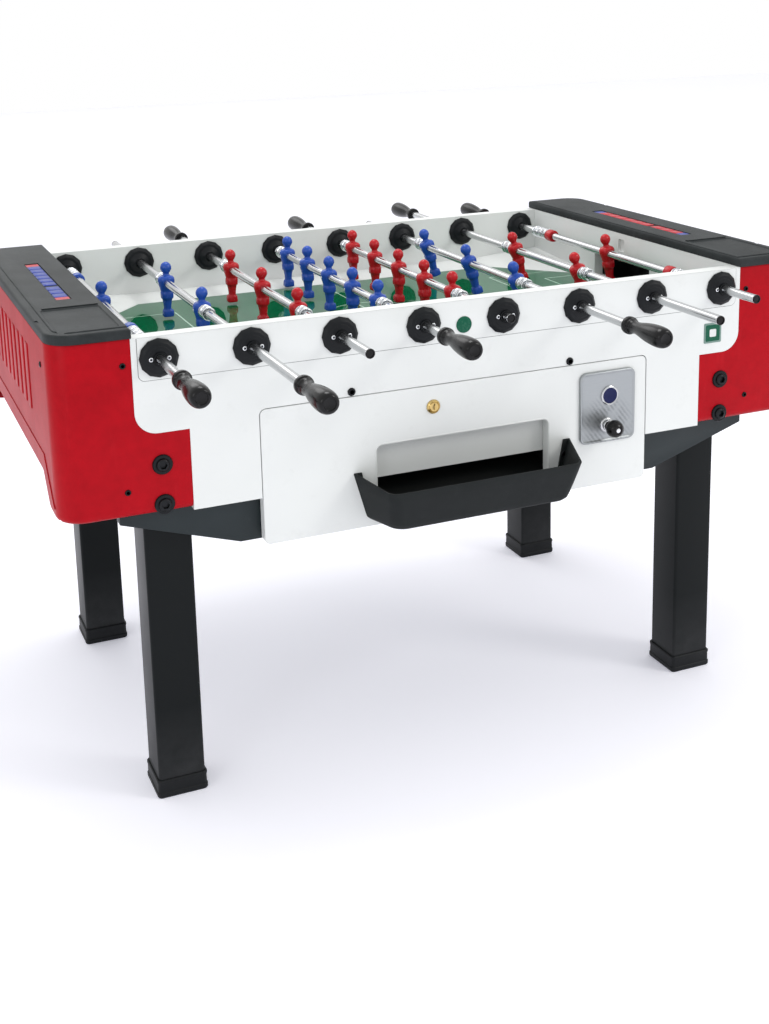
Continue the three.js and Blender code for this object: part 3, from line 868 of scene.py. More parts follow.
def long_panels():
    edge = settings().edge
    for name, side in (("front_panel", -1), ("rear_panel", 1)):
        low, high = sorted((side * FACE, side * INNER))
        board = slab(name + "_board", panel_outline(), upright, low, high)
        cutters = [axle_hole(rod) for rod in RODS]
        if side < 0:
            gap = 1.5 * MM
            notch = rounded(
                DOOR.low.x - gap, DOOR.high.x + gap, DOOR.low.z - 20 * MM, DOOR.high.z + gap, 11.5 * MM,
            )
            cutters.append(slab("notch", notch, upright, low - 0.01, high + 0.01))
        carve(board, *cutters)
        settle(soften(board, edge), "root", "white_laminate", name)
        bearing_strip(name.split("_")[0], side)


def bearing_strip(word, side):
    """The thin plate that runs under the bearings, and a dark seam sheet around it that is a painted
    shadow along its edge.
    """
    reach, low, high, corner = 558 * MM, 747 * MM, TOP - 1.5 * MM, 10 * MM
    # the seam sheet, a little wider than the strip, is a painted shadow along the strip's edge
    for name, grow, thick, finish in (
        (f"{word}_strip_seam", 0.9 * MM, 0.25 * MM, "seam"),
        (f"{word}_bearing_strip", 0.0, 0.9 * MM, "white_laminate"),
    ):
        outline = [(-reach - grow, high), *arc(-reach + corner, low + corner, corner + grow, 180, 270, 6)]
        outline += [*arc(reach - corner, low + corner, corner + grow, 270, 360, 6), (reach + grow, high)]
        start, end = side * FACE, side * (FACE + thick)
        strip = slab(name, outline, upright, start, end)
        carve(strip, *[axle_hole(rod) for rod in RODS])
        if finish == "white_laminate":
            soften(strip, 0.3 * MM, 1)
        settle(strip, "root", finish)


def end_boards():
    for word, side in (("left", -1), ("right", 1)):
        node = Box(f"{word}_end_board")
        board = block(f"{word}_goal_board", node.low, node.high)
        mouth = rounded(-GOAL_HALF, GOAL_HALF, GLASS, GOAL_TOP, 0, 1)
        cutter = slab("mouth", mouth, across, node.low.x - 0.01, node.high.x + 0.01)
        score = rounded(-12 * MM, 12 * MM, GOAL_TOP + 14 * MM, TOP - 12 * MM, 5 * MM)
        face = node.high.x if side < 0 else node.low.x
        slot_low, slot_high = sorted((face + side * 5 * MM, face - side * 0.01))
        dent = slab("dent", score, across, slot_low, slot_high)
        carve(board, cutter, dent)
        settle(soften(board, settings().edge), "root", "grey_laminate", f"{word}_end_board")
        goal_pocket(word, side, node)


GOAL_HALF = 107 * MM
GOAL_TOP = 765 * MM


def goal_pocket(word, side, node):
    """The black box behind a goal, in a finish darkened as painted shade: a roof, a floor, two cheeks and
    a back wall, open towards the goal.
    """
    back = side * (COVER.high.x - 8 * MM)
    mouth = side * (node.high.x + 0.3 * MM if side > 0 else -node.low.x + 0.3 * MM)
    wall = 4 * MM
    low, high = sorted((mouth, back))
    outside = block(
        f"{word}_goal_pocket", (low, -GOAL_HALF - wall, GLASS - 38 * MM),
        (high, GOAL_HALF + wall, GOAL_TOP + wall),
    )
    inner_low, inner_high = (low - 0.01, high - wall) if side > 0 else (low + wall, high + 0.01)
    hollow = block("hollow", (inner_low, -GOAL_HALF, GLASS - 0.1), (inner_high, GOAL_HALF, GOAL_TOP))
    # the pocket takes the darker cavity finish: painted shade inside the goal
    settle(carve(outside, hollow), "root", "cavity_black")


# ---------------------------------------------------------------- end covers

ARCH = {"top": 585 * MM, "flat": 281 * MM, "foot": 341 * MM, "deep": 45 * MM}


def cover_outline(inset):
    """A right-hand cover seen from above, drawn in from its three outer sides by an inset."""
    corner = 40 * MM - inset * 0.5
    reach = COVER.high.x - inset
    half = FACE - inset
    start = NARROW + 0.3 * MM
    points = [(start, -half), *arc(reach - corner, -half + corner, corner, -90, 0, 10)]
    points += [*arc(reach - corner, half - corner, corner, 0, 90, 10), (start, half)]
    return points


def across(points, x):
    """Points drawn on Y and Z, as seen from the right end, at one place along X."""
    return [Vector((x, u, v)) for u, v in points]


def end_cover(word, side):
    floor = COVER.low.z
    rounding = 13 * MM
    profile = [(rounding * (1 - math.sin(math.radians(a))),
                floor + rounding * (1 - math.cos(math.radians(a))))
               for a in (0, 22.5, 45, 67.5, 90)]
    profile += [(0, TOP - 1.5 * MM), (0.8 * MM, TOP)]
    shell = stepped(
        f"{word}_cover_shell", lambda inset: mirrored(cover_outline(inset), side), level, profile,
    )
    wall = 5 * MM
    hollow_x = sorted((side * (NARROW - 0.01), side * (COVER.high.x - wall)))
    hollow = block("hollow", (hollow_x[0], -INNER, floor - 0.01), (hollow_x[1], INNER, TOP + 0.01))
    arch_x = sorted((side * (COVER.high.x - ARCH["deep"]), side * (COVER.high.x + 0.01)))
    arch = [(-ARCH["foot"], floor - 0.01), (ARCH["foot"], floor - 0.01)]
    arch += [*arc(ARCH["flat"] - 12 * MM, ARCH["top"] - 14 * MM, 14 * MM, 30, 90, 4)]
    arch += [*arc(-ARCH["flat"] + 12 * MM, ARCH["top"] - 14 * MM, 14 * MM, 90, 150, 4)]
    tunnel = slab("tunnel", arch, across, *arch_x)
    room = slab("room", panel_outline(0.3 * MM), upright, -FACE - 0.01, FACE + 0.01)
    carve(shell, hollow, tunnel, room)
    soften(shell, settings().cover_edge, 3, 40)
    settle(shell, "root", "red_cover", f"{word}_end_cover")
    end_moulding(word, side)


def end_moulding(word, side):
    """The raised band that follows the arch on the outer face, and the row of ribs above it."""
    face = side * COVER.high.x
    rise = 1.6 * MM
    band = 34 * MM
    outline = [(-ARCH["foot"] - band * 0.9, COVER.low.z + 22 * MM),
               (-ARCH["foot"] + 8 * MM, COVER.low.z + 22 * MM)]
    outline += [(-ARCH["flat"] - 5 * MM, ARCH["top"] + 7 * MM),
                (ARCH["flat"] + 5 * MM, ARCH["top"] + 7 * MM)]
    outline += [(ARCH["foot"] - 8 * MM, COVER.low.z + 22 * MM),
                (ARCH["foot"] + band * 0.9, COVER.low.z + 22 * MM)]
    outline += [(ARCH["flat"] + band * 0.55, ARCH["top"] + band),
                (-ARCH["flat"] - band * 0.55, ARCH["top"] + band)]
    x = sorted((face - side * 0.2 * MM, face + side * rise))
    moulding = slab(f"{word}_cover_moulding", outline, across, *x)
    settle(soften(moulding, 1.3 * MM, 3), "root", "red_cover")
    bar = stepped(
        "rib_bar",
        lambda inset: rounded(-13 * MM + inset, 13 * MM - inset, -56 * MM + inset, 56 * MM - inset,
                                         max(5 * MM - inset, 0.2 * MM), 4),
        lambda points, x: [Vector((side * x, u, v)) for u, v in points],
        [(0, -0.4 * MM), (0, 0.7 * MM), (0.5 * MM, 1.4 * MM), (1.4 * MM, 1.8 * MM)],
    )
    count, pitch = 9, 48 * MM
    ribs = grow(f"{word}_cover_ribs", bpy.data.node_groups["bar_row"], {
        "Count": count, "Pitch": (0, pitch, 0), "Bar": bar,
        "Place": (face, -pitch * (count - 1) / 2, (ARCH["top"] + TOP) / 2 + 22 * MM),
    }, "red_cover")
    bpy.data.objects.remove(bar)
    settle(ribs, "root", "red_cover")


# ---------------------------------------------------------------- top caps

CAP_SLOT = {"x": 622 * MM, "half": 13 * MM, "y0": -155 * MM, "y1": 193 * MM}
NAME_GROUPS = (3, 6)          # bars in each group of the inlay, from the front
CAP_TRAY = {"x0": 578 * MM, "x1": 674 * MM, "y0": -392 * MM, "y1": -223 * MM, "depth": 3 * MM}


def cap_outline(inset, inner=0.0):
    corner = 44 * MM - inset
    start = CAP.low.x + inset * 0.6 + inner
    reach = CAP.high.x - inset
    half = CAP.high.y - inset
    points = [(start, -half), *arc(reach - corner, -half + corner, corner, -90, 0, 10)]
    points += [*arc(reach - corner, half - corner, corner, 0, 90, 10), (start, half)]
    return points


def top_cap(word, side):
    edge = settings().cap_edge
    base, top = CAP.low.z, CAP.high.z - 1.8 * MM
    profile = [(1.2 * MM, base), (0, base + 1.5 * MM), (0, top - edge)]
    profile += [(edge * (1 - math.cos(math.radians(a))), top - edge * (1 - math.sin(math.radians(a))))
                for a in (22.5, 45, 67.5, 90)]
    rim = stepped(f"{word}_cap_rim", lambda inset: mirrored(cap_outline(inset), side), level, profile)
    margin = 15 * MM
    lift = CAP.high.z - top
    profile = [(margin, top - 0.5 * MM), (margin, top + lift * 0.45),
               (margin + 0.9 * MM, top + lift * 0.85),
               (margin + 2 * MM, top + lift)]
    field = stepped(
        f"{word}_cap_field", lambda inset: mirrored(cap_outline(inset, -0.45 * margin), side), level,
        profile,
    )
    slot = CAP_SLOT
    slot_x = sorted((side * (slot["x"] - slot["half"]), side * (slot["x"] + slot["half"])))
    for thing, depth in ((rim, 2.2 * MM), (field, 4 * MM)):
        label = slab("label", rounded(*slot_x, slot["y0"], slot["y1"], 2 * MM), level, CAP.high.z - depth,
                     CAP.high.z + 0.01)
        carve(thing, label)
    tray_x = sorted((side * CAP_TRAY["x0"], side * CAP_TRAY["x1"]))
    tray = stepped(
        "tray", lambda inset: rounded(tray_x[0] + inset, tray_x[1] - inset, CAP_TRAY["y0"] + inset,
                                      CAP_TRAY["y1"] - inset, 8 * MM),
        level, [(2.5 * MM, top - 0.6 * MM), (0, CAP.high.z), (0, CAP.high.z + 0.01)],
    )
    carve(field, tray)
    for y in (-291 * MM, 268 * MM):
        notch_x = sorted((side * (CAP.high.x - 7 * MM), side * (CAP.high.x + 0.01)))
        notch = block("notch", (notch_x[0], y - 7 * MM, top - 1.8 * MM),
                      (notch_x[1], y + 7 * MM, top + 0.01))
        carve(rim, notch)
    settle(soften(rim, 0.6 * MM, 2), "root", "dark_cap", f"{word}_top_cap")
    settle(soften(field, 0.5 * MM, 2), "root", "dark_cap", f"{word}_top_cap")
    ledge_x = sorted((side * (CAP.low.x + 12 * MM), side * (CAP.high.x - margin - 10 * MM)))
    ledge = block(f"{word}_cap_ledge", (ledge_x[0], CAP_TRAY["y1"] + 2 * MM, CAP.high.z - 0.5 * MM),
                  (ledge_x[1], CAP_TRAY["y1"] + 9 * MM, CAP.high.z + 2.2 * MM))
    settle(soften(ledge, 1.4 * MM, 3), "root", "dark_cap")
    name_plate(word, side)


def name_plate(word, side):
    """The inlay in a cap's slot: coloured bars in two groups between two end bars."""
    slot = CAP_SLOT
    main, ends = ("blue_print", "red_print") if side < 0 else ("red_print", "blue_print")
    floor = CAP.high.z - 2.3 * MM
    x = side * slot["x"]
    half = slot["half"] - 1.5 * MM
    length = slot["y1"] - slot["y0"] - 6 * MM
    end_bar = 22 * MM
    for place, y in (("near", slot["y0"] + 3 * MM), ("far", slot["y1"] - 3 * MM - end_bar)):
        bar = block(f"{word}_plate_{place}_end", (x - half, y, floor - 0.5 * MM),
                    (x + half, y + end_bar, floor + 1.1 * MM))
        settle(soften(bar, 0.4 * MM), "root", ends)
    first, last = slot["y0"] + 3 * MM + end_bar, slot["y1"] - 3 * MM - end_bar
    pitch = (last - first) / (sum(NAME_GROUPS) + 0.35)
    bar = stepped(
        "plate_bar",
        lambda inset: rounded(-half + inset, half - inset, -pitch * 0.45 + inset, pitch * 0.45 - inset,
                                           2 * MM, 3),
        level, [(0, -0.4 * MM), (0, 0.9 * MM), (0.5 * MM, 1.4 * MM)],
    )
    start = first
    for group, count in enumerate(NAME_GROUPS, 1):
        bars = grow(f"{word}_plate_bars_{group}", bpy.data.node_groups["bar_row"], {
            "Count": count, "Pitch": (0, pitch, 0), "Bar": bar, "Place": (x, start + pitch / 2, floor),
        }, main)
        settle(bars, "root", main)
        start += (count + 0.35) * pitch
    bpy.data.objects.remove(bar)


# ---------------------------------------------------------------- playfield

def convex(name, points):
    work = bmesh.new()
    for point in points:
        work.verts.new(point)
    bmesh.ops.convex_hull(work, input=work.verts)
    return from_bmesh(name, work, 5)


def playfield():
    low = FIELD.low.z
    x, y = FIELD.high.x, FIELD.high.y
    cut_x, cut_y, flat = 400 * MM, 110 * MM, 300 * MM
    strip, corner = 716 * MM, 728 * MM
    base = block("field_base_board", (-x, -y, low), (x, y, GLASS - 5 * MM))
    settle(soften(base, 0.5 * MM), "root", "black_board", "playfield")
    octagon = [(cut_x, -flat), (x, -cut_y), (x, cut_y), (cut_x, flat),
               (-cut_x, flat), (-x, cut_y), (-x, -cut_y), (-cut_x, -flat)]
    glass = slab("pitch_glass", octagon, level, GLASS - 4.8 * MM, GLASS)
    settle(soften(glass, 0.4 * MM, 2), "root", "green_glass", "playfield")
    ground = GLASS - 4.8 * MM
    seam = 0.4 * MM
    for word, side in (("front", -1), ("rear", 1)):
        points = []
        for end in (-cut_x, cut_x):
            points += [(end, side * (flat + seam), ground), (end, side * y, ground)]
            points += [(end, side * (flat + seam), GLASS + 0.6 * MM), (end, side * y, strip)]
        edge = soften(convex(f"{word}_field_strip", points), 0.4 * MM, 2, 20)
        settle(edge, "root", "white_laminate", "playfield")
        for hand, sign in (("left", -1), ("right", 1)):
            points = []
            for across_x, along_y, rise in (
                (cut_x, flat + seam, GLASS + 0.6 * MM), (x, cut_y + seam, GLASS + 0.6 * MM),
                (x, y, corner), (cut_x, y, strip),
            ):
                points += [(sign * across_x, side * along_y, ground),
                           (sign * across_x, side * along_y, rise)]
            wedge = soften(convex(f"{word}_{hand}_corner_wedge", points), 0.4 * MM, 2, 20)
            settle(wedge, "root", "white_laminate", "playfield")


# ---------------------------------------------------------------- lower housing and legs

def cad_copy(name, node):
    """A merged copy of a CAD node's mesh, with its flat faces joined."""
    work = bmesh.new()
    work.from_mesh(frame["nodes"][node].data)
    bmesh.ops.remove_doubles(work, verts=work.verts, dist=1e-5)
    bmesh.ops.dissolve_limit(work, angle_limit=math.radians(1), verts=work.verts, edges=work.edges)
    return from_bmesh(name, work)


WING = {
    "old_low": 456 * MM, "old_end": 583 * MM, "drop": 11 * MM, "longer": 14 * MM, "end_drop": 9 * MM,
    "bend": 540 * MM,
}


def lower_housing():
    """The black housing, its wings a little deeper and longer than the simple solid's."""
    housing = cad_copy("housing_shell", "lower_housing")
    for vertex in housing.data.vertices:
        spot = vertex.co
        if spot.z < WING["old_low"] + 1 * MM:
            spot.z -= WING["drop"]
            spot.x += math.copysign(WING["drop"], spot.x)
        elif abs(abs(spot.x) - WING["old_end"]) < 1 * MM:
            spot.x += math.copysign(WING["longer"], spot.x)
            if spot.z < WING["bend"]:
                spot.z -= WING["end_drop"]
    settle(soften(housing, 1.2 * MM, 2), "root", "black_board", "lower_housing")


def leg(word):
    node = Box(f"leg_{word}")
    x, y = node.middle.x, node.middle.y
    half = 40 * MM
    foot_half = node.size.x / 2
    foot_top = 33 * MM

    def square(size, radius):
        return lambda inset: rounded(x - size + inset, x + size - inset, y - size + inset,
                                     y + size - inset, max(radius - inset, 0.5 * MM), 5)
    tube = stepped(f"leg_{word}_tube", square(half, 5.5 * MM), level,
                   [(0, foot_top - 6 * MM), (0, node.high.z)])
    settle(tube, "root", "leg_black", f"leg_{word}")
    profile = [(2.2 * MM, 0), (0.4 * MM, 2 * MM), (0, 4 * MM), (0, 9 * MM), (1.4 * MM, 10.5 * MM)]
    profile += [(1.6 * MM, foot_top - 7 * MM), (0.6 * MM, foot_top - 5 * MM),
                (0.6 * MM, foot_top - 1.6 * MM), (2.0 * MM, foot_top), (foot_half - half, foot_top),
                (foot_half - half + 0.5 * MM, foot_top - 1 * MM)]
    foot = stepped(f"leg_{word}_foot", square(foot_half, 8 * MM), level, profile)
    settle(foot, "root", "foot_rubber", f"leg_{word}")


# ---------------------------------------------------------------- drawer

WINDOW = {"half": 166 * MM, "bottom": 470 * MM, "top": 584 * MM, "corner": 12 * MM}


def window_outline(grow):
    return rounded(-WINDOW["half"] - grow, WINDOW["half"] + grow, WINDOW["bottom"] - grow,
                   WINDOW["top"] + grow, WINDOW["corner"] + grow)


def drawer():
    edge = rounded(DOOR.low.x, DOOR.high.x, DOOR.low.z, DOOR.high.z, 10 * MM)
    door = slab("drawer_door", edge, upright, DOOR.low.y, DOOR.high.y)
    window = slab("window", window_outline(0), upright, DOOR.low.y - 0.01, DOOR.high.y + 0.01)
    lock = Box("door_lock")
    lock_hole = hole_points(lock.middle.x, lock.middle.z, HOLES["lock"])
    bore = slab("bore", lock_hole, upright, DOOR.low.y - 0.01, DOOR.high.y + 0.01)
    knob_hole = hole_points(KNOB.middle.x, KNOB.middle.z, HOLES["knob"])
    shaft = slab("shaft", knob_hole, upright, DOOR.low.y - 0.01, DOOR.low.y + 14 * MM)
    carve(door, window, bore, shaft)
    settle(soften(door, 1.3 * MM, 2), "drawer", "white_laminate", "drawer_front")
    window_trim()
    chute = cad_copy("ball_drawer", "drawer_box")
    # the drawer box takes the darker cavity finish: painted shade inside the drawer
    settle(soften(chute, 1 * MM, 2), "drawer", "cavity_black", "drawer_box")
    side = CHUTE.high.x - 8.6 * MM
    back = block("chute_back_plate", (-side, CHUTE.low.y + 1 * MM, 519 * MM),
                 (side, CHUTE.low.y + 5 * MM, CHUTE.high.z - 1 * MM))
    settle(soften(back, 0.8 * MM, 2), "drawer", "grey_laminate")
    settle(ball_tray(), "drawer", "tray_plastic", "ball_tray")


def window_trim():
    """The thin moulded lip around the drawer's window."""
    work = bmesh.new()
    front = DOOR.low.y
    rings = []
    for grow, y in ((-1.8 * MM, front + 19 * MM), (-1.8 * MM, front + 0.6 * MM),
                    (-1.3 * MM, front - 0.1 * MM),
                    (0.2 * MM, front - 0.5 * MM), (1.6 * MM, front - 0.3 * MM),
                    (2.0 * MM, front + 0.2 * MM),
                    (-0.2 * MM, front + 0.3 * MM), (-0.2 * MM, front + 19 * MM)):
        rings.append(upright(window_outline(grow), y))
    loops = bridge(work, rings, closed=False)
    count = len(loops[0])
    for index in range(count):
        after = (index + 1) % count
        work.faces.new((loops[-1][index], loops[-1][after], loops[0][after], loops[0][index]))
    settle(from_bmesh("window_trim", work, 50), "drawer", "grey_laminate")


def ball_tray():
    """A flared bin hung on the door: full width at the wall, narrower in front, open on top."""
    wall = 4 * MM
    back = TRAY.high.y
    rim, floor = TRAY.high.z, TRAY.low.z

    def plan(share, inset):
        """The outline at a share of the height, drawn in by an inset."""
        back_half = (184 + 24 * share) * MM - inset * 1.25
        front_half = (163 + 16 * share ** 0.8) * MM - inset
        front = TRAY.low.y + 24 * MM * (1 - share) ** 1.4 + inset
        corner = (26 - 8 * share) * MM
        rear = back - (inset if inset else 0)
        slope = math.degrees(math.atan2(rear - front, back_half - front_half))
        points = [(-back_half, rear),
                  *arc(-front_half + corner * 0.8, front + corner, corner, 180 + (90 - slope), 270, 7)]
        points += [*arc(front_half - corner * 0.8, front + corner, corner, 270, 360 - (90 - slope), 7),
                   (back_half, rear)]
        return points

    height = rim - floor
    shares = (0.16, 0.4, 0.7, 0.97)
    rings = [level(plan(0, 7 * MM), floor), level(plan(0.02, 2.5 * MM), floor + 2.2 * MM),
             level(plan(0.06, 0.001 * MM), floor + 6 * MM)]
    rings += [level(plan(share, 0.001 * MM), floor + height * share) for share in shares]
    rings += [level(plan(1, 0.8 * MM), rim), level(plan(1, wall - 0.8 * MM), rim),
              level(plan(0.97, wall), rim - 2 * MM)]
    rings += [level(plan(share, wall), floor + height * share) for share in reversed(shares[:-1])]
    rings += [level(plan(0.08, wall + 2 * MM), floor + wall + 2 * MM),
              level(plan(0.04, wall + 9 * MM), floor + wall)]
    ear, rest = 11 * MM, 12 * MM
    for ring in rings:
        for point in ring:
            share = max(0.0, (point.z - floor) / height)
            from_wall = min(1.0, max(0.0, (back - rest - point.y) / (26 * MM)))
            point.z -= ear * share ** 3 * from_wall * (2 - from_wall)
    work = bmesh.new()
    bridge(work, rings)
    tray = from_bmesh("tray_bin", work, 50)
    low_half, high_half = 178 * MM, 194 * MM
    opening = [(-low_half, floor + 8 * MM), (low_half, floor + 8 * MM), (high_half, rim + 2 * MM),
               (-high_half, rim + 2 * MM)]
    mouth = slab("mouth", opening, upright, back - 8 * MM, back + 0.01)
    carve(tray, mouth)
    tray.data.set_sharp_from_angle(angle=math.radians(45))
    return tray


def coin_unit():
    plate = COIN
    def outline(inset):
        return rounded(plate.low.x + inset, plate.high.x - inset, plate.low.z + inset,
                       plate.high.z - inset, max(13 * MM - inset, 5 * MM), 8)
    face, seat = plate.low.y, plate.high.y
    rim = [(0, seat), (0, face + 2.6 * MM), (0.5 * MM, face + 1.1 * MM), (1.7 * MM, face + 0.2 * MM),
           (2.6 * MM, face),
           (3.6 * MM, face + 0.25 * MM), (5.2 * MM, face + 1.6 * MM), (6.2 * MM, face + 2 * MM)]
    steel = stepped("coin_face_plate", outline, upright, rim, 50)
    settle(steel, "drawer", "brushed_steel", "coin_plate")
    recess = face + 2 * MM
    knob_x, knob_z = KNOB.middle.x, KNOB.middle.z
    collar = turned("knob_collar", [
        (0.01 * MM, 0), (13.5 * MM, 0), (13.5 * MM, 1.4 * MM), (12.4 * MM, 2.6 * MM),
        (10.2 * MM, 3.2 * MM), (9.6 * MM, 6.5 * MM), (8.6 * MM, 7.4 * MM), (0.01 * MM, 7.4 * MM),
    ], matrix=toward_front(knob_x, recess, knob_z))
    settle(collar, "drawer", "rod_chrome")
    reach = recess - KNOB.low.y
    knob = turned("coin_push_knob", [
        (0.01 * MM, 1.0 * MM), (5.6 * MM, 1.0 * MM), (5.6 * MM, reach - 29 * MM),
        (8 * MM, reach - 28 * MM), (12.6 * MM, reach - 24 * MM), (15.4 * MM, reach - 18.5 * MM),
        (16 * MM, reach - 14 * MM), (14.9 * MM, reach - 8 * MM), (12.2 * MM, reach - 3.6 * MM),
        (8.6 * MM, reach - 1.2 * MM), (7.4 * MM, reach - 0.6 * MM), (6.8 * MM, reach - 1.6 * MM),
        (3.4 * MM, reach - 2.2 * MM), (0.01 * MM, reach - 2.2 * MM),
    ], matrix=toward_front(knob_x, recess, knob_z))
    settle(knob, "coin_knob", "grip_black", "coin_knob")
    eye = turned("knob_screw", [
        (0.01 * MM, reach - 2.4 * MM), (4.2 * MM, reach - 2.4 * MM), (4.0 * MM, reach - 1.4 * MM),
        (2.6 * MM, reach - 0.9 * MM), (0.01 * MM, reach - 0.8 * MM),
    ], matrix=toward_front(knob_x, recess, knob_z))
    settle(eye, "coin_knob", "screw_steel")
    button_x, button_z = plate.middle.x + 4 * MM, plate.middle.z + 20 * MM
    bezel = turned("coin_button_bezel", [
        (14.6 * MM, 0), (18.2 * MM, 0), (17.8 * MM, 1.6 * MM), (16.4 * MM, 2.4 * MM),
        (14.6 * MM, 2.0 * MM), (14.6 * MM, 0),
    ], matrix=toward_front(button_x, recess, button_z))
    settle(bezel, "drawer", "rod_chrome")
    button = turned("coin_button_face", [
        (0.01 * MM, 0), (15 * MM, 0), (14.9 * MM, 1.5 * MM), (13.8 * MM, 2.1 * MM),
        (12.6 * MM, 1.8 * MM), (0.01 * MM, 1.9 * MM),
    ], matrix=toward_front(button_x, recess, button_z))
    settle(button, "drawer", "button_navy")
    lock_unit()


def toward_front(x, y, z):
    """Puts a piece turned about +Y at a place, looking to the front."""
    return Matrix.Translation((x, y, z)) @ Matrix.Rotation(math.pi, 4, "Z")


def lock_unit():
    node = Box("door_lock")
    x, z = node.middle.x, node.middle.z
    proud = -FACE - node.low.y
    rose = turned("lock_cylinder", [
        (0.01 * MM, -17 * MM), (10.0 * MM, -17 * MM), (10.0 * MM, 0.2 * MM), (12.5 * MM, 0.2 * MM),
        (12.5 * MM, 1.4 * MM), (11.6 * MM, 2.8 * MM), (9.6 * MM, proud - 0.8 * MM),
        (8.9 * MM, proud - 1.6 * MM), (8.3 * MM, proud - 0.8 * MM), (7.4 * MM, proud),
        (0.01 * MM, proud),
    ], matrix=toward_front(x, -FACE, z))
    slot = block("key", (x - 0.9 * MM, node.low.y - 0.01, z - 4.4 * MM),
                 (x + 0.9 * MM, node.low.y + 2.5 * MM, z + 4.4 * MM))
    settle(carve(rose, slot), "door_lock", "lock_brass", "door_lock")


# ---------------------------------------------------------------- bearings

def bearing(name, matrix, screws):
    """A twelve-sided faceted flange with a bush and a boss, looking along +Y from the panel's face."""
    work = bmesh.new()

    def ring(radius, along, turn=0.0, count=24):
        return [Vector((radius * MM * math.cos(FULL_TURN * i / count + turn), along * MM,
                        radius * MM * math.sin(FULL_TURN * i / count + turn))) for i in range(count)]

    def polygon(radius, along, corner_shift):
        """A twelve-sided ring with 24 points: corners and the middles of the flats."""
        points = []
        for i in range(24):
            angle = FULL_TURN * i / 24
            on_corner = (i + corner_shift) % 2 == 0
            reach = radius if on_corner else radius * math.cos(math.pi / 12)
            points.append(Vector((reach * MM * math.cos(angle), along * MM,
                                  reach * MM * math.sin(angle))))
        return points
    rings = [ring(8.3, -12.6), ring(13.6, -12.6), ring(13.6, 0.2), polygon(31.6, 0.2, 0),
             polygon(31.6, 2.6, 0),
             polygon(30.8, 3.6, 0), polygon(26.0, 7.4, 0), polygon(25.4, 7.7, 0), polygon(20.4, 8.3, 0)]
    if screws:
        rings += [polygon(19.6, 8.9, 0), ring(18.2, 9.1), ring(11.6, 9.1), ring(11.2, 8.4),
                  ring(10.6, 8.4), ring(10.2, 11.4), ring(9.7, 12.0), ring(8.5, 12.1)]
    else:
        rings += [polygon(17.4, 9.6, 0), polygon(13.4, 11.8, 0), ring(11.4, 12.8), ring(10.6, 13.6),
                  ring(8.5, 13.8)]
    rings.append(ring(8.3, -12.6))
    bridge(work, rings, closed=False)
    work.transform(matrix)
    return from_bmesh(name, work, 14)


def bearings():
    for rod in RODS:
        for word, side in (("front", -1), ("rear", 1)):
            node = f"{word}_bearing_{rod.number}"
            outward = Matrix.Translation((rod.pivot.x, side * (FACE + 0.9 * MM), ROD_HEIGHT))
            inward = Matrix.Translation((rod.pivot.x, side * INNER, ROD_HEIGHT))
            half_turn = Matrix.Rotation(math.pi, 4, "Z")
            faces = (outward @ half_turn, inward) if side < 0 else (outward, inward @ half_turn)
            settle(bearing(f"{node}_outer", faces[0], True), "root", "black_plastic", node)
            settle(bearing(f"{node}_inner", faces[1], False), "root", "black_plastic", node)


# ---------------------------------------------------------------- rods

def rod_pieces(rod):
    kind, side = rod.kind, rod.side
    body = f"rod_{rod.number}"
    tip = kind["plain"] * MM * -side
    grip = (kind["handle"] + 110) * MM * side
    low, high = sorted((tip + 3 * MM * side, grip))
    bevel = 0.8 * MM
    tube = turned(f"{body}_tube", [
        (0.01 * MM, low), (ROD_RADIUS - bevel, low), (ROD_RADIUS, low + bevel),
        (ROD_RADIUS, high - bevel), (ROD_RADIUS - bevel, high), (0.01 * MM, high),
    ], 32, matrix=rod.place())
    settle(tube, body, "rod_chrome", body)
    plug = turned(f"{body}_end_plug", [
        (0.01 * MM, -3.1 * MM), (7.6 * MM, -3.1 * MM), (7.8 * MM, -2.9 * MM), (8.0 * MM, -2.6 * MM),
        (8.1 * MM, -2.2 * MM), (8.1 * MM, -1.8 * MM), (8.1 * MM, -1.4 * MM), (8.1 * MM, -0.9 * MM),
        (7.5 * MM, 0.0), (5.6 * MM, 0.3 * MM), (5.2 * MM, -1.2 * MM), (0.01 * MM, -1.2 * MM),
    ], 32, matrix=rod.place(tip) @ (Matrix.Rotation(math.pi, 4, "Z") if side > 0 else Matrix.Identity(4)))
    settle(plug, body, "grip_black", body)
    for word, sign in (("front", -1), ("rear", 1)):
        if kind["rings"]:
            ring = turned(f"{body}_{word}_ring", [
                (8.05 * MM, -11 * MM), (11.2 * MM, -11 * MM), (12.5 * MM, -10.2 * MM),
                (13.0 * MM, -8.2 * MM), (13.2 * MM, 0), (13.0 * MM, 8.2 * MM), (12.5 * MM, 10.2 * MM),
                (11.2 * MM, 11 * MM), (8.05 * MM, 11 * MM), (8.05 * MM, -11 * MM),
            ], 40, matrix=rod.place(sign * kind["rings"] * MM))
            settle(ring, body, rod.team, body)


HANDLE_PROFILE = [
    (13.4, 0.0), (14.7, 1.2), (15.0, 3.2), (15.0, 8.6), (14.4, 10.2), (12.4, 11.4), (12.2, 12.6),
    (13.0, 13.6), (12.8, 16.2), (11.4, 20.0), (10.4, 27.0), (10.6, 36.0), (12.2, 48.0), (14.2, 61.0),
    (16.0, 76.0), (17.2, 92.0), (17.6, 104.0), (17.3, 115.0), (16.2, 122.0), (14.4, 126.8),
    (12.0, 129.2), (9.8, 129.9), (9.2, 129.4), (8.9, 128.4), (8.4, 128.0),
]


GRIP = {"start": 13, "stretch": 0.86}


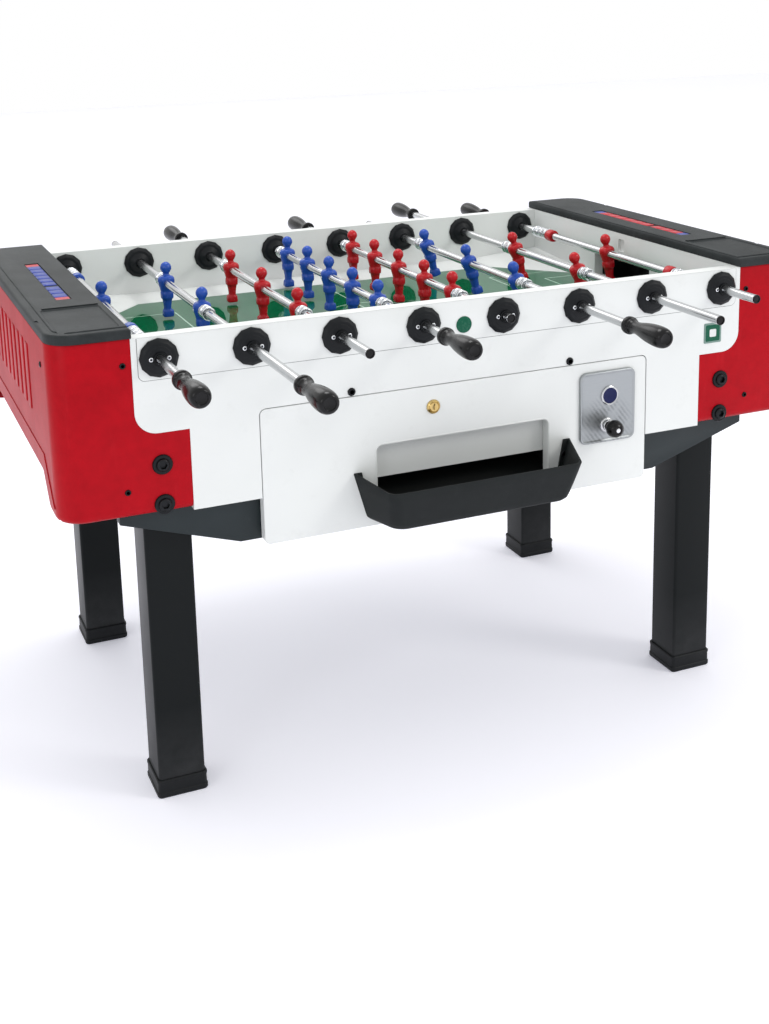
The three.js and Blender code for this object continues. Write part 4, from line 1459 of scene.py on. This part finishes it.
def handle(rod):
    stretched = [(radius * MM, along * GRIP["stretch"] * MM) for radius, along in HANDLE_PROFILE]
    run = curve_through(stretched, 3)
    profile = [(8.7 * MM, 0.0), *run, (0.01 * MM, run[-1][1])]
    start = (rod.kind["handle"] + GRIP["start"]) * MM * rod.side
    turn = Matrix.Identity(4) if rod.side > 0 else Matrix.Rotation(math.pi, 4, "Z")
    grip = turned(f"handle_{rod.number}_grip", profile, 48, 40, rod.place(start) @ turn)
    settle(grip, f"rod_{rod.number}", "grip_black", f"handle_{rod.number}")


# ---------------------------------------------------------------- men

# Heights above the rod's axis with the half depth (along X) and half width (along Y) of the
# body there, the roundness of its section, and how deep the legs and arms are cut.
MAN_SECTIONS = [
    # height, depth, width, roundness, leg groove, arm groove, forward
    (17.6, 6.0, 5.8, 2.0, 0.0, 0.0, 0.3), (15.4, 6.4, 6.6, 2.0, 0.0, 0.0, 0.2),
    (13.8, 9.4, 10.2, 2.1, 0.0, 0.0, 0.0), (12.0, 13.2, 12.6, 2.2, 0.0, 0.2, 0.0),
    (8.8, 15.6, 13.4, 2.4, 0.0, 0.6, 0.0), (4.0, 16.2, 13.4, 2.5, 0.0, 1.1, 0.0),
    (0.0, 15.8, 13.3, 2.5, 0.0, 1.4, 0.0), (-5.0, 14.6, 12.8, 2.5, 0.0, 1.5, 0.0),
    (-10.0, 13.2, 12.0, 2.4, 0.0, 1.5, 0.0), (-15.0, 12.0, 11.2, 2.4, 0.0, 1.0, 0.0),
    (-17.6, 11.5, 10.9, 2.4, 0.0, 0.4, 0.0), (-18.6, 12.1, 11.4, 2.5, 0.2, 0.0, 0.0),
    (-23.0, 12.3, 12.0, 2.6, 0.6, 0.0, 0.2), (-28.0, 12.0, 12.2, 2.6, 1.2, 0.0, 0.3),
    (-31.0, 11.5, 12.0, 2.5, 1.6, 0.0, 0.3), (-31.8, 9.7, 10.8, 2.4, 2.0, 0.0, 0.2),
    (-37.0, 8.4, 10.2, 2.4, 2.3, 0.0, 0.1), (-44.0, 7.3, 9.5, 2.4, 2.4, 0.0, 0.0),
    (-50.5, 7.0, 9.0, 2.4, 2.2, 0.0, 0.0), (-52.4, 7.4, 9.2, 2.5, 1.6, 0.0, 0.2),
    (-54.2, 9.4, 10.0, 3.0, 0.9, 0.0, 0.8), (-57.0, 10.3, 10.5, 3.6, 0.6, 0.0, 0.9),
    (-64.0, 10.5, 10.8, 4.0, 0.5, 0.0, 0.6), (-66.2, 10.2, 10.5, 4.0, 0.4, 0.0, 0.6),
    (-67.0, 9.3, 9.7, 4.0, 0.2, 0.0, 0.6),
]


def man_section(height, depth, width, roundness, legs, arms, forward, facing, points=36):
    """One closed section: a rounded box with grooves between the legs or beside the arms."""
    ring = []
    for index in range(points):
        angle = FULL_TURN * index / points
        c, s = math.cos(angle), math.sin(angle)
        reach = (abs(c) ** roundness + abs(s) ** roundness) ** (-1 / roundness)
        x, y = reach * c, reach * s
        middle = math.exp(-(y / 0.16) ** 2)
        beside = math.exp(-((abs(y) - 0.66) / 0.11) ** 2)
        pinch = (legs * middle + arms * beside) / depth if abs(x) > 0.3 else 0.0
        ring.append(Vector(((depth * x * (1 - pinch) + forward * facing) * MM, width * y * MM,
                            height * MM)))
    return ring


def man(rod, number, along):
    facing = 1 if rod.side < 0 else -1
    head_low, head_high, radius, tall = 17.9, 41.0, 10.9, 12.0
    rings = []
    middle = (head_low + head_high) / 2 - 0.4
    for angle in (84, 72, 58, 42, 26, 10, -8, -26, -42, -54):
        share = math.cos(math.radians(angle))
        height = middle + tall * math.sin(math.radians(angle))
        jaw = 0.93 if angle < -20 else 1.0
        rings.append(man_section(height, radius * share * jaw, radius * 0.95 * share * jaw, 2.0, 0, 0,
                                 0.6, facing))
    rings += [man_section(*section, facing) for section in MAN_SECTIONS]
    work = bmesh.new()
    bridge(work, rings)
    work.transform(rod.place(along * MM))
    figure = from_bmesh(f"man_{rod.number}_{number}", work, 60)
    settle(figure, f"rod_{rod.number}", rod.team, f"rod_{rod.number}")
    pin = turned(f"man_{rod.number}_{number}_pin", [
        (0.01 * MM, 0), (2.3 * MM, 0), (2.3 * MM, 1.1 * MM), (1.6 * MM, 1.6 * MM), (0.01 * MM, 1.6 * MM),
    ], 20, matrix=rod.place(along * MM) @ Matrix.Translation((-facing * 15.3 * MM, 0, 0))
        @ Matrix.Rotation(math.radians(90 * facing), 4, "Z"))
    settle(pin, f"rod_{rod.number}", "screw_steel", f"rod_{rod.number}")


# ---------------------------------------------------------------- fasteners and labels

def fasteners():
    steel = screw_head("steel_head", 1.0, 0.42, 0.6, 6, 24)
    tree = bpy.data.node_groups["heads_on_points"]
    bolts, cover_screws, panel_screws, bearing_screws = [], [], [], []
    for side in (-1, 1):
        out = (0, side, 0)
        for sign in (-1, 1):
            bolts += [((sign * 529 * MM, side * (FACE + 3.6 * MM), z * MM), out) for z in (608, 542)]
            cover_screws += [((sign * 582 * MM, side * FACE, 775 * MM), out),
                             ((sign * 586 * MM, side * FACE, 570 * MM), out)]
            panel_screws.append(((sign * 207 * MM, side * FACE, 683 * MM), out))
        for rod in RODS:
            for sign in (-1, 1):
                place = (rod.pivot.x + sign * 14.2 * MM, side * (FACE + 10.0 * MM), ROD_HEIGHT)
                bearing_screws.append((place, out))
    for sign in (-1, 1):
        face = sign * COVER.high.x
        for y in (-370 * MM, 370 * MM):
            cover_screws.append(((face, y * 0.9, 775 * MM), (sign, 0, 0)))
    for name, places, size, finish in (
        ("leg_bolt_heads", bolts, 10.5 * MM, "screw_black"),
        ("cover_screws", cover_screws, 5 * MM, "screw_black"),
        ("panel_screws", panel_screws, 7 * MM, "screw_black"),
        ("bearing_screws", bearing_screws, 3.7 * MM, "screw_steel"),
    ):
        heads = grow(name, tree, {"Head": steel, "Size": size}, finish, points_mesh(name, places))
        settle(heads, "root", finish)
    washer = turned("washer", [
        (0.3, 0.0), (1.0, 0.0), (1.0, 0.1), (0.93, 0.2), (0.72, 0.25), (0.64, 0.22), (0.3, 0.22),
        (0.3, 0.0),
    ], 40)
    seats = [((x, y - math.copysign(3.6 * MM, y), z), out) for (x, y, z), out in bolts]
    washers = grow("leg_bolt_washers", tree, {"Head": washer, "Size": settings().bolt_radius},
                   "black_plastic", points_mesh("leg_bolt_washers", seats))
    settle(washers, "root", "black_plastic")
    tray_places = [((sign * 193 * MM, TRAY.high.y - 4 * MM, 515 * MM), (0, -1, 0)) for sign in (-1, 1)]
    tray_screws = grow("tray_screws", tree, {"Head": steel, "Size": 4.6 * MM}, "screw_black",
                       points_mesh("tray_screws", tray_places))
    settle(tray_screws, "drawer", "screw_black")
    bpy.data.objects.remove(steel)
    bpy.data.objects.remove(washer)


def disc(name, x, z, radius, rise, finish, y, body="root"):
    sticker = turned(name, [
        (0.01 * MM, 0), (radius, 0), (radius, rise * 0.6), (radius - rise * 0.8, rise), (0.01 * MM, rise),
    ], 48, matrix=toward_front(x, y, z))
    return settle(sticker, body, finish)


def labels():
    face = -FACE - 0.9 * MM
    # the pale ring round the green sticker is a painted highlight on its rim
    disc("round_sticker_edge", 0, 774 * MM, 16.2 * MM, 0.5 * MM, "grey_laminate", face)
    disc("round_sticker", 0, 774 * MM, 14.6 * MM, 0.9 * MM, "green_print", face)
    x, z, half = 510 * MM, 699 * MM, 19 * MM
    for name, inset, rise, finish in (
        ("square_badge_frame", 0.0, 0.9 * MM, "grey_print"),
        ("square_badge_field", 3.4 * MM, 1.3 * MM, "green_print"),
        ("square_badge_bar", 11.5 * MM, 1.6 * MM, "grey_laminate"),
    ):
        def outline(shrink, inset=inset):
            step = inset + shrink
            span = half - step
            return rounded(x - span, x + span, z - span, z + span, 2.4 * MM, 4)
        badge = stepped(name, outline, upright,
                        [(0, -FACE), (0, -FACE - rise * 0.6), (0.4 * MM, -FACE - rise)])
        settle(badge, "root", finish)


# ---------------------------------------------------------------- stage

CAMERA = {
    "eye": (-1.0001, -2.4825, 1.3387), "yaw": 23.262, "pitch": 12.393, "roll": -1.163, "lens": 49.13,
    "shift": (-0.020, -0.215),
}


def aim_camera():
    data = bpy.data.cameras.new("view")
    data.sensor_width = 36
    data.lens = CAMERA["lens"]
    data.shift_x, data.shift_y = CAMERA["shift"]
    data.clip_start, data.clip_end = 0.05, 100
    camera = new_object("view", data)
    yaw, pitch, roll = (math.radians(CAMERA[key]) for key in ("yaw", "pitch", "roll"))
    ahead = Vector((math.sin(yaw) * math.cos(pitch), math.cos(yaw) * math.cos(pitch), -math.sin(pitch)))
    right = Vector((math.cos(yaw), -math.sin(yaw), 0))
    up = right.cross(ahead)
    right, up = math.cos(roll) * right + math.sin(roll) * up, math.cos(roll) * up - math.sin(roll) * right
    turn = Matrix((right, up, -ahead)).transposed().to_4x4()
    camera.matrix_world = Matrix.Translation(CAMERA["eye"]) @ turn
    bpy.context.scene.camera = camera


def soft_light(name, place, target, size, power, colour):
    data = bpy.data.lights.new(name, "AREA")
    data.shape = "DISK"
    data.size = size
    data.energy = power
    data.color = colour
    lamp = new_object(name, data)
    lamp.location = place
    aim = Vector(target) - Vector(place)
    lamp.rotation_euler = aim.to_track_quat("-Z", "Y").to_euler()


def light_world():
    world = bpy.data.worlds.new("studio")
    world.use_nodes = True
    graph = Graph(world.node_tree)
    backdrop = next(node for node in graph.tree.nodes if node.type == "BACKGROUND")
    backdrop.inputs["Color"].default_value = (1.0, 1.0, 1.0, 1)
    backdrop.inputs["Strength"].default_value = 1.0
    bpy.context.scene.world = world


MIDDLE = (0, 0, 0.6)
# name, place, what it points at, size, watts and colour of each soft light
LIGHTS = (
    ("key", (3.2, -3.0, 3.2), MIDDLE, 1.4, 52, (1.0, 0.985, 0.96)),
    ("fill", (-3.8, -3.0, 2.2), MIDDLE, 1.4, 22, (0.96, 0.98, 1.0)),
    ("rim", (-0.5, 3.4, 3.2), MIDDLE, 2.2, 20, (1.0, 1.0, 1.0)),
    ("over", (0, 0.35, 2.6), (0, 0.3, 0.7), 0.9, 14, (1.0, 1.0, 1.0)),
)
FLOOR = {"half": 14, "corner": 2, "thick": 0.02, "colour": (0.88, 0.88, 0.92)}


def stage():
    bpy.context.scene.view_settings.view_transform = "Standard"
    light_world()
    half = FLOOR["half"]
    floor = slab("studio_floor", rounded(-half, half, -half, half, FLOOR["corner"], 8), level,
                 -FLOOR["thick"], 0)
    floor.data.materials.append(pale_floor("studio_paper", FLOOR["colour"]))
    for name, place, target, size, power, colour in LIGHTS:
        soft_light(name, place, target, size, power, colour)
    aim_camera()


# ---------------------------------------------------------------- operators

class MakerOperator:
    """What the maker's operators share: one function is run, and an error stops the script."""

    bl_options = {"REGISTER", "UNDO"}

    def execute(self, context):
        self.make()
        return {"FINISHED"}


class FOOTBALL_OT_stage(MakerOperator, bpy.types.Operator):
    """Lays the floor, sets the lights and aims the camera"""

    bl_idname = "football.stage"
    bl_label = "Stage"

    def make(self):
        stage()


class FOOTBALL_OT_prepare(MakerOperator, bpy.types.Operator):
    """Mixes the finishes and builds the geometry node trees"""

    bl_idname = "football.prepare"
    bl_label = "Finishes and node trees"

    def make(self):
        make_finishes(settings())
        coil_tree()
        scatter_tree()
        row_tree()


class FOOTBALL_OT_cabinet(MakerOperator, bpy.types.Operator):
    """Makes the long panels with their bearing strips, and the end boards with the goals"""

    bl_idname = "football.cabinet"
    bl_label = "Cabinet boards"

    def make(self):
        long_panels()
        end_boards()


class FOOTBALL_OT_covers(MakerOperator, bpy.types.Operator):
    """Makes the moulded end covers"""

    bl_idname = "football.covers"
    bl_label = "End covers"

    def make(self):
        end_cover("left", -1)
        end_cover("right", 1)


class FOOTBALL_OT_caps(MakerOperator, bpy.types.Operator):
    """Makes the top caps with their trays and inlays"""

    bl_idname = "football.caps"
    bl_label = "Top caps"

    def make(self):
        top_cap("left", -1)
        top_cap("right", 1)


class FOOTBALL_OT_pitch(MakerOperator, bpy.types.Operator):
    """Makes the glass pitch and its sloped edges"""

    bl_idname = "football.pitch"
    bl_label = "Pitch"

    def make(self):
        playfield()


class FOOTBALL_OT_base(MakerOperator, bpy.types.Operator):
    """Makes the lower housing, the legs and the feet"""

    bl_idname = "football.base"
    bl_label = "Housing and legs"

    def make(self):
        lower_housing()
        for word in ("front_left", "front_right", "rear_left", "rear_right"):
            leg(word)


class FOOTBALL_OT_drawer(MakerOperator, bpy.types.Operator):
    """Makes the drawer, its window and the ball tray"""

    bl_idname = "football.drawer"
    bl_label = "Drawer"

    def make(self):
        drawer()


class FOOTBALL_OT_coin_unit(MakerOperator, bpy.types.Operator):
    """Makes the coin plate, its push knob and the lock"""

    bl_idname = "football.coin_unit"
    bl_label = "Coin plate and lock"

    def make(self):
        coin_unit()


class FOOTBALL_OT_bearings(MakerOperator, bpy.types.Operator):
    """Makes the faceted bearing flanges"""

    bl_idname = "football.bearings"
    bl_label = "Bearings"

    def make(self):
        bearings()


class FOOTBALL_OT_rods(MakerOperator, bpy.types.Operator):
    """Makes the rods with their end plugs, rings and handles"""

    bl_idname = "football.rods"
    bl_label = "Rods and handles"

    def make(self):
        for rod in RODS:
            rod_pieces(rod)
            handle(rod)


class FOOTBALL_OT_men(MakerOperator, bpy.types.Operator):
    """Makes the men of both teams"""

    bl_idname = "football.men"
    bl_label = "Men"

    def make(self):
        for rod in RODS:
            for number, along in enumerate(rod.kind["men"], 1):
                man(rod, number, along)


class FOOTBALL_OT_springs(MakerOperator, bpy.types.Operator):
    """Winds the bumper springs"""

    bl_idname = "football.springs"
    bl_label = "Springs"

    def make(self):
        tree = bpy.data.node_groups["coil_pair"]
        sizes = settings()
        for rod in RODS:
            length = rod.kind["spring"] * MM
            name = f"bumper_spring_{rod.number}"
            coils = grow(f"{name}_coils", tree, {
                "Radius": sizes.spring_radius, "Wire": sizes.spring_wire, "Length": length,
                "Turns": length / sizes.spring_pitch, "Start": (rod.kind["stop"] + 0.3) * MM,
                "Place": tuple(rod.pivot),
            }, "spring_chrome")
            settle(coils, f"spring_{rod.number}", "spring_chrome", name)


class FOOTBALL_OT_fasteners(MakerOperator, bpy.types.Operator):
    """Sets the bolts and screws"""

    bl_idname = "football.fasteners"
    bl_label = "Fasteners"

    def make(self):
        fasteners()


class FOOTBALL_OT_labels(MakerOperator, bpy.types.Operator):
    """Lays the plain stickers and the badge"""

    bl_idname = "football.labels"
    bl_label = "Labels"

    def make(self):
        labels()


OPERATORS = (
    FOOTBALL_OT_stage, FOOTBALL_OT_prepare, FOOTBALL_OT_cabinet, FOOTBALL_OT_covers, FOOTBALL_OT_caps,
    FOOTBALL_OT_pitch, FOOTBALL_OT_base, FOOTBALL_OT_drawer, FOOTBALL_OT_coin_unit, FOOTBALL_OT_bearings,
    FOOTBALL_OT_rods, FOOTBALL_OT_men, FOOTBALL_OT_springs, FOOTBALL_OT_fasteners, FOOTBALL_OT_labels,
)


class FOOTBALL_PT_maker(bpy.types.Panel):
    """Lists the maker's steps in order"""

    bl_idname = "FOOTBALL_PT_maker"
    bl_label = "Table football"
    bl_space_type = "VIEW_3D"
    bl_region_type = "UI"
    bl_category = "Football"

    def draw(self, context):
        for name in FootballSettings.__annotations__:
            self.layout.prop(context.scene.football, name)
        for operator in OPERATORS:
            self.layout.operator(operator.bl_idname)


def register():
    bpy.utils.register_class(FootballSettings)
    bpy.types.Scene.football = bpy.props.PointerProperty(type=FootballSettings)
    for operator in OPERATORS:
        bpy.utils.register_class(operator)
    bpy.utils.register_class(FOOTBALL_PT_maker)


def unregister():
    bpy.utils.unregister_class(FOOTBALL_PT_maker)
    for operator in reversed(OPERATORS):
        bpy.utils.unregister_class(operator)
    del bpy.types.Scene.football
    bpy.utils.unregister_class(FootballSettings)


def main():
    register()
    for operator in OPERATORS:
        category, name = operator.bl_idname.split(".")
        getattr(getattr(bpy.ops, category), name)()
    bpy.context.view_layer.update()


if __name__ == "__main__":
    main()
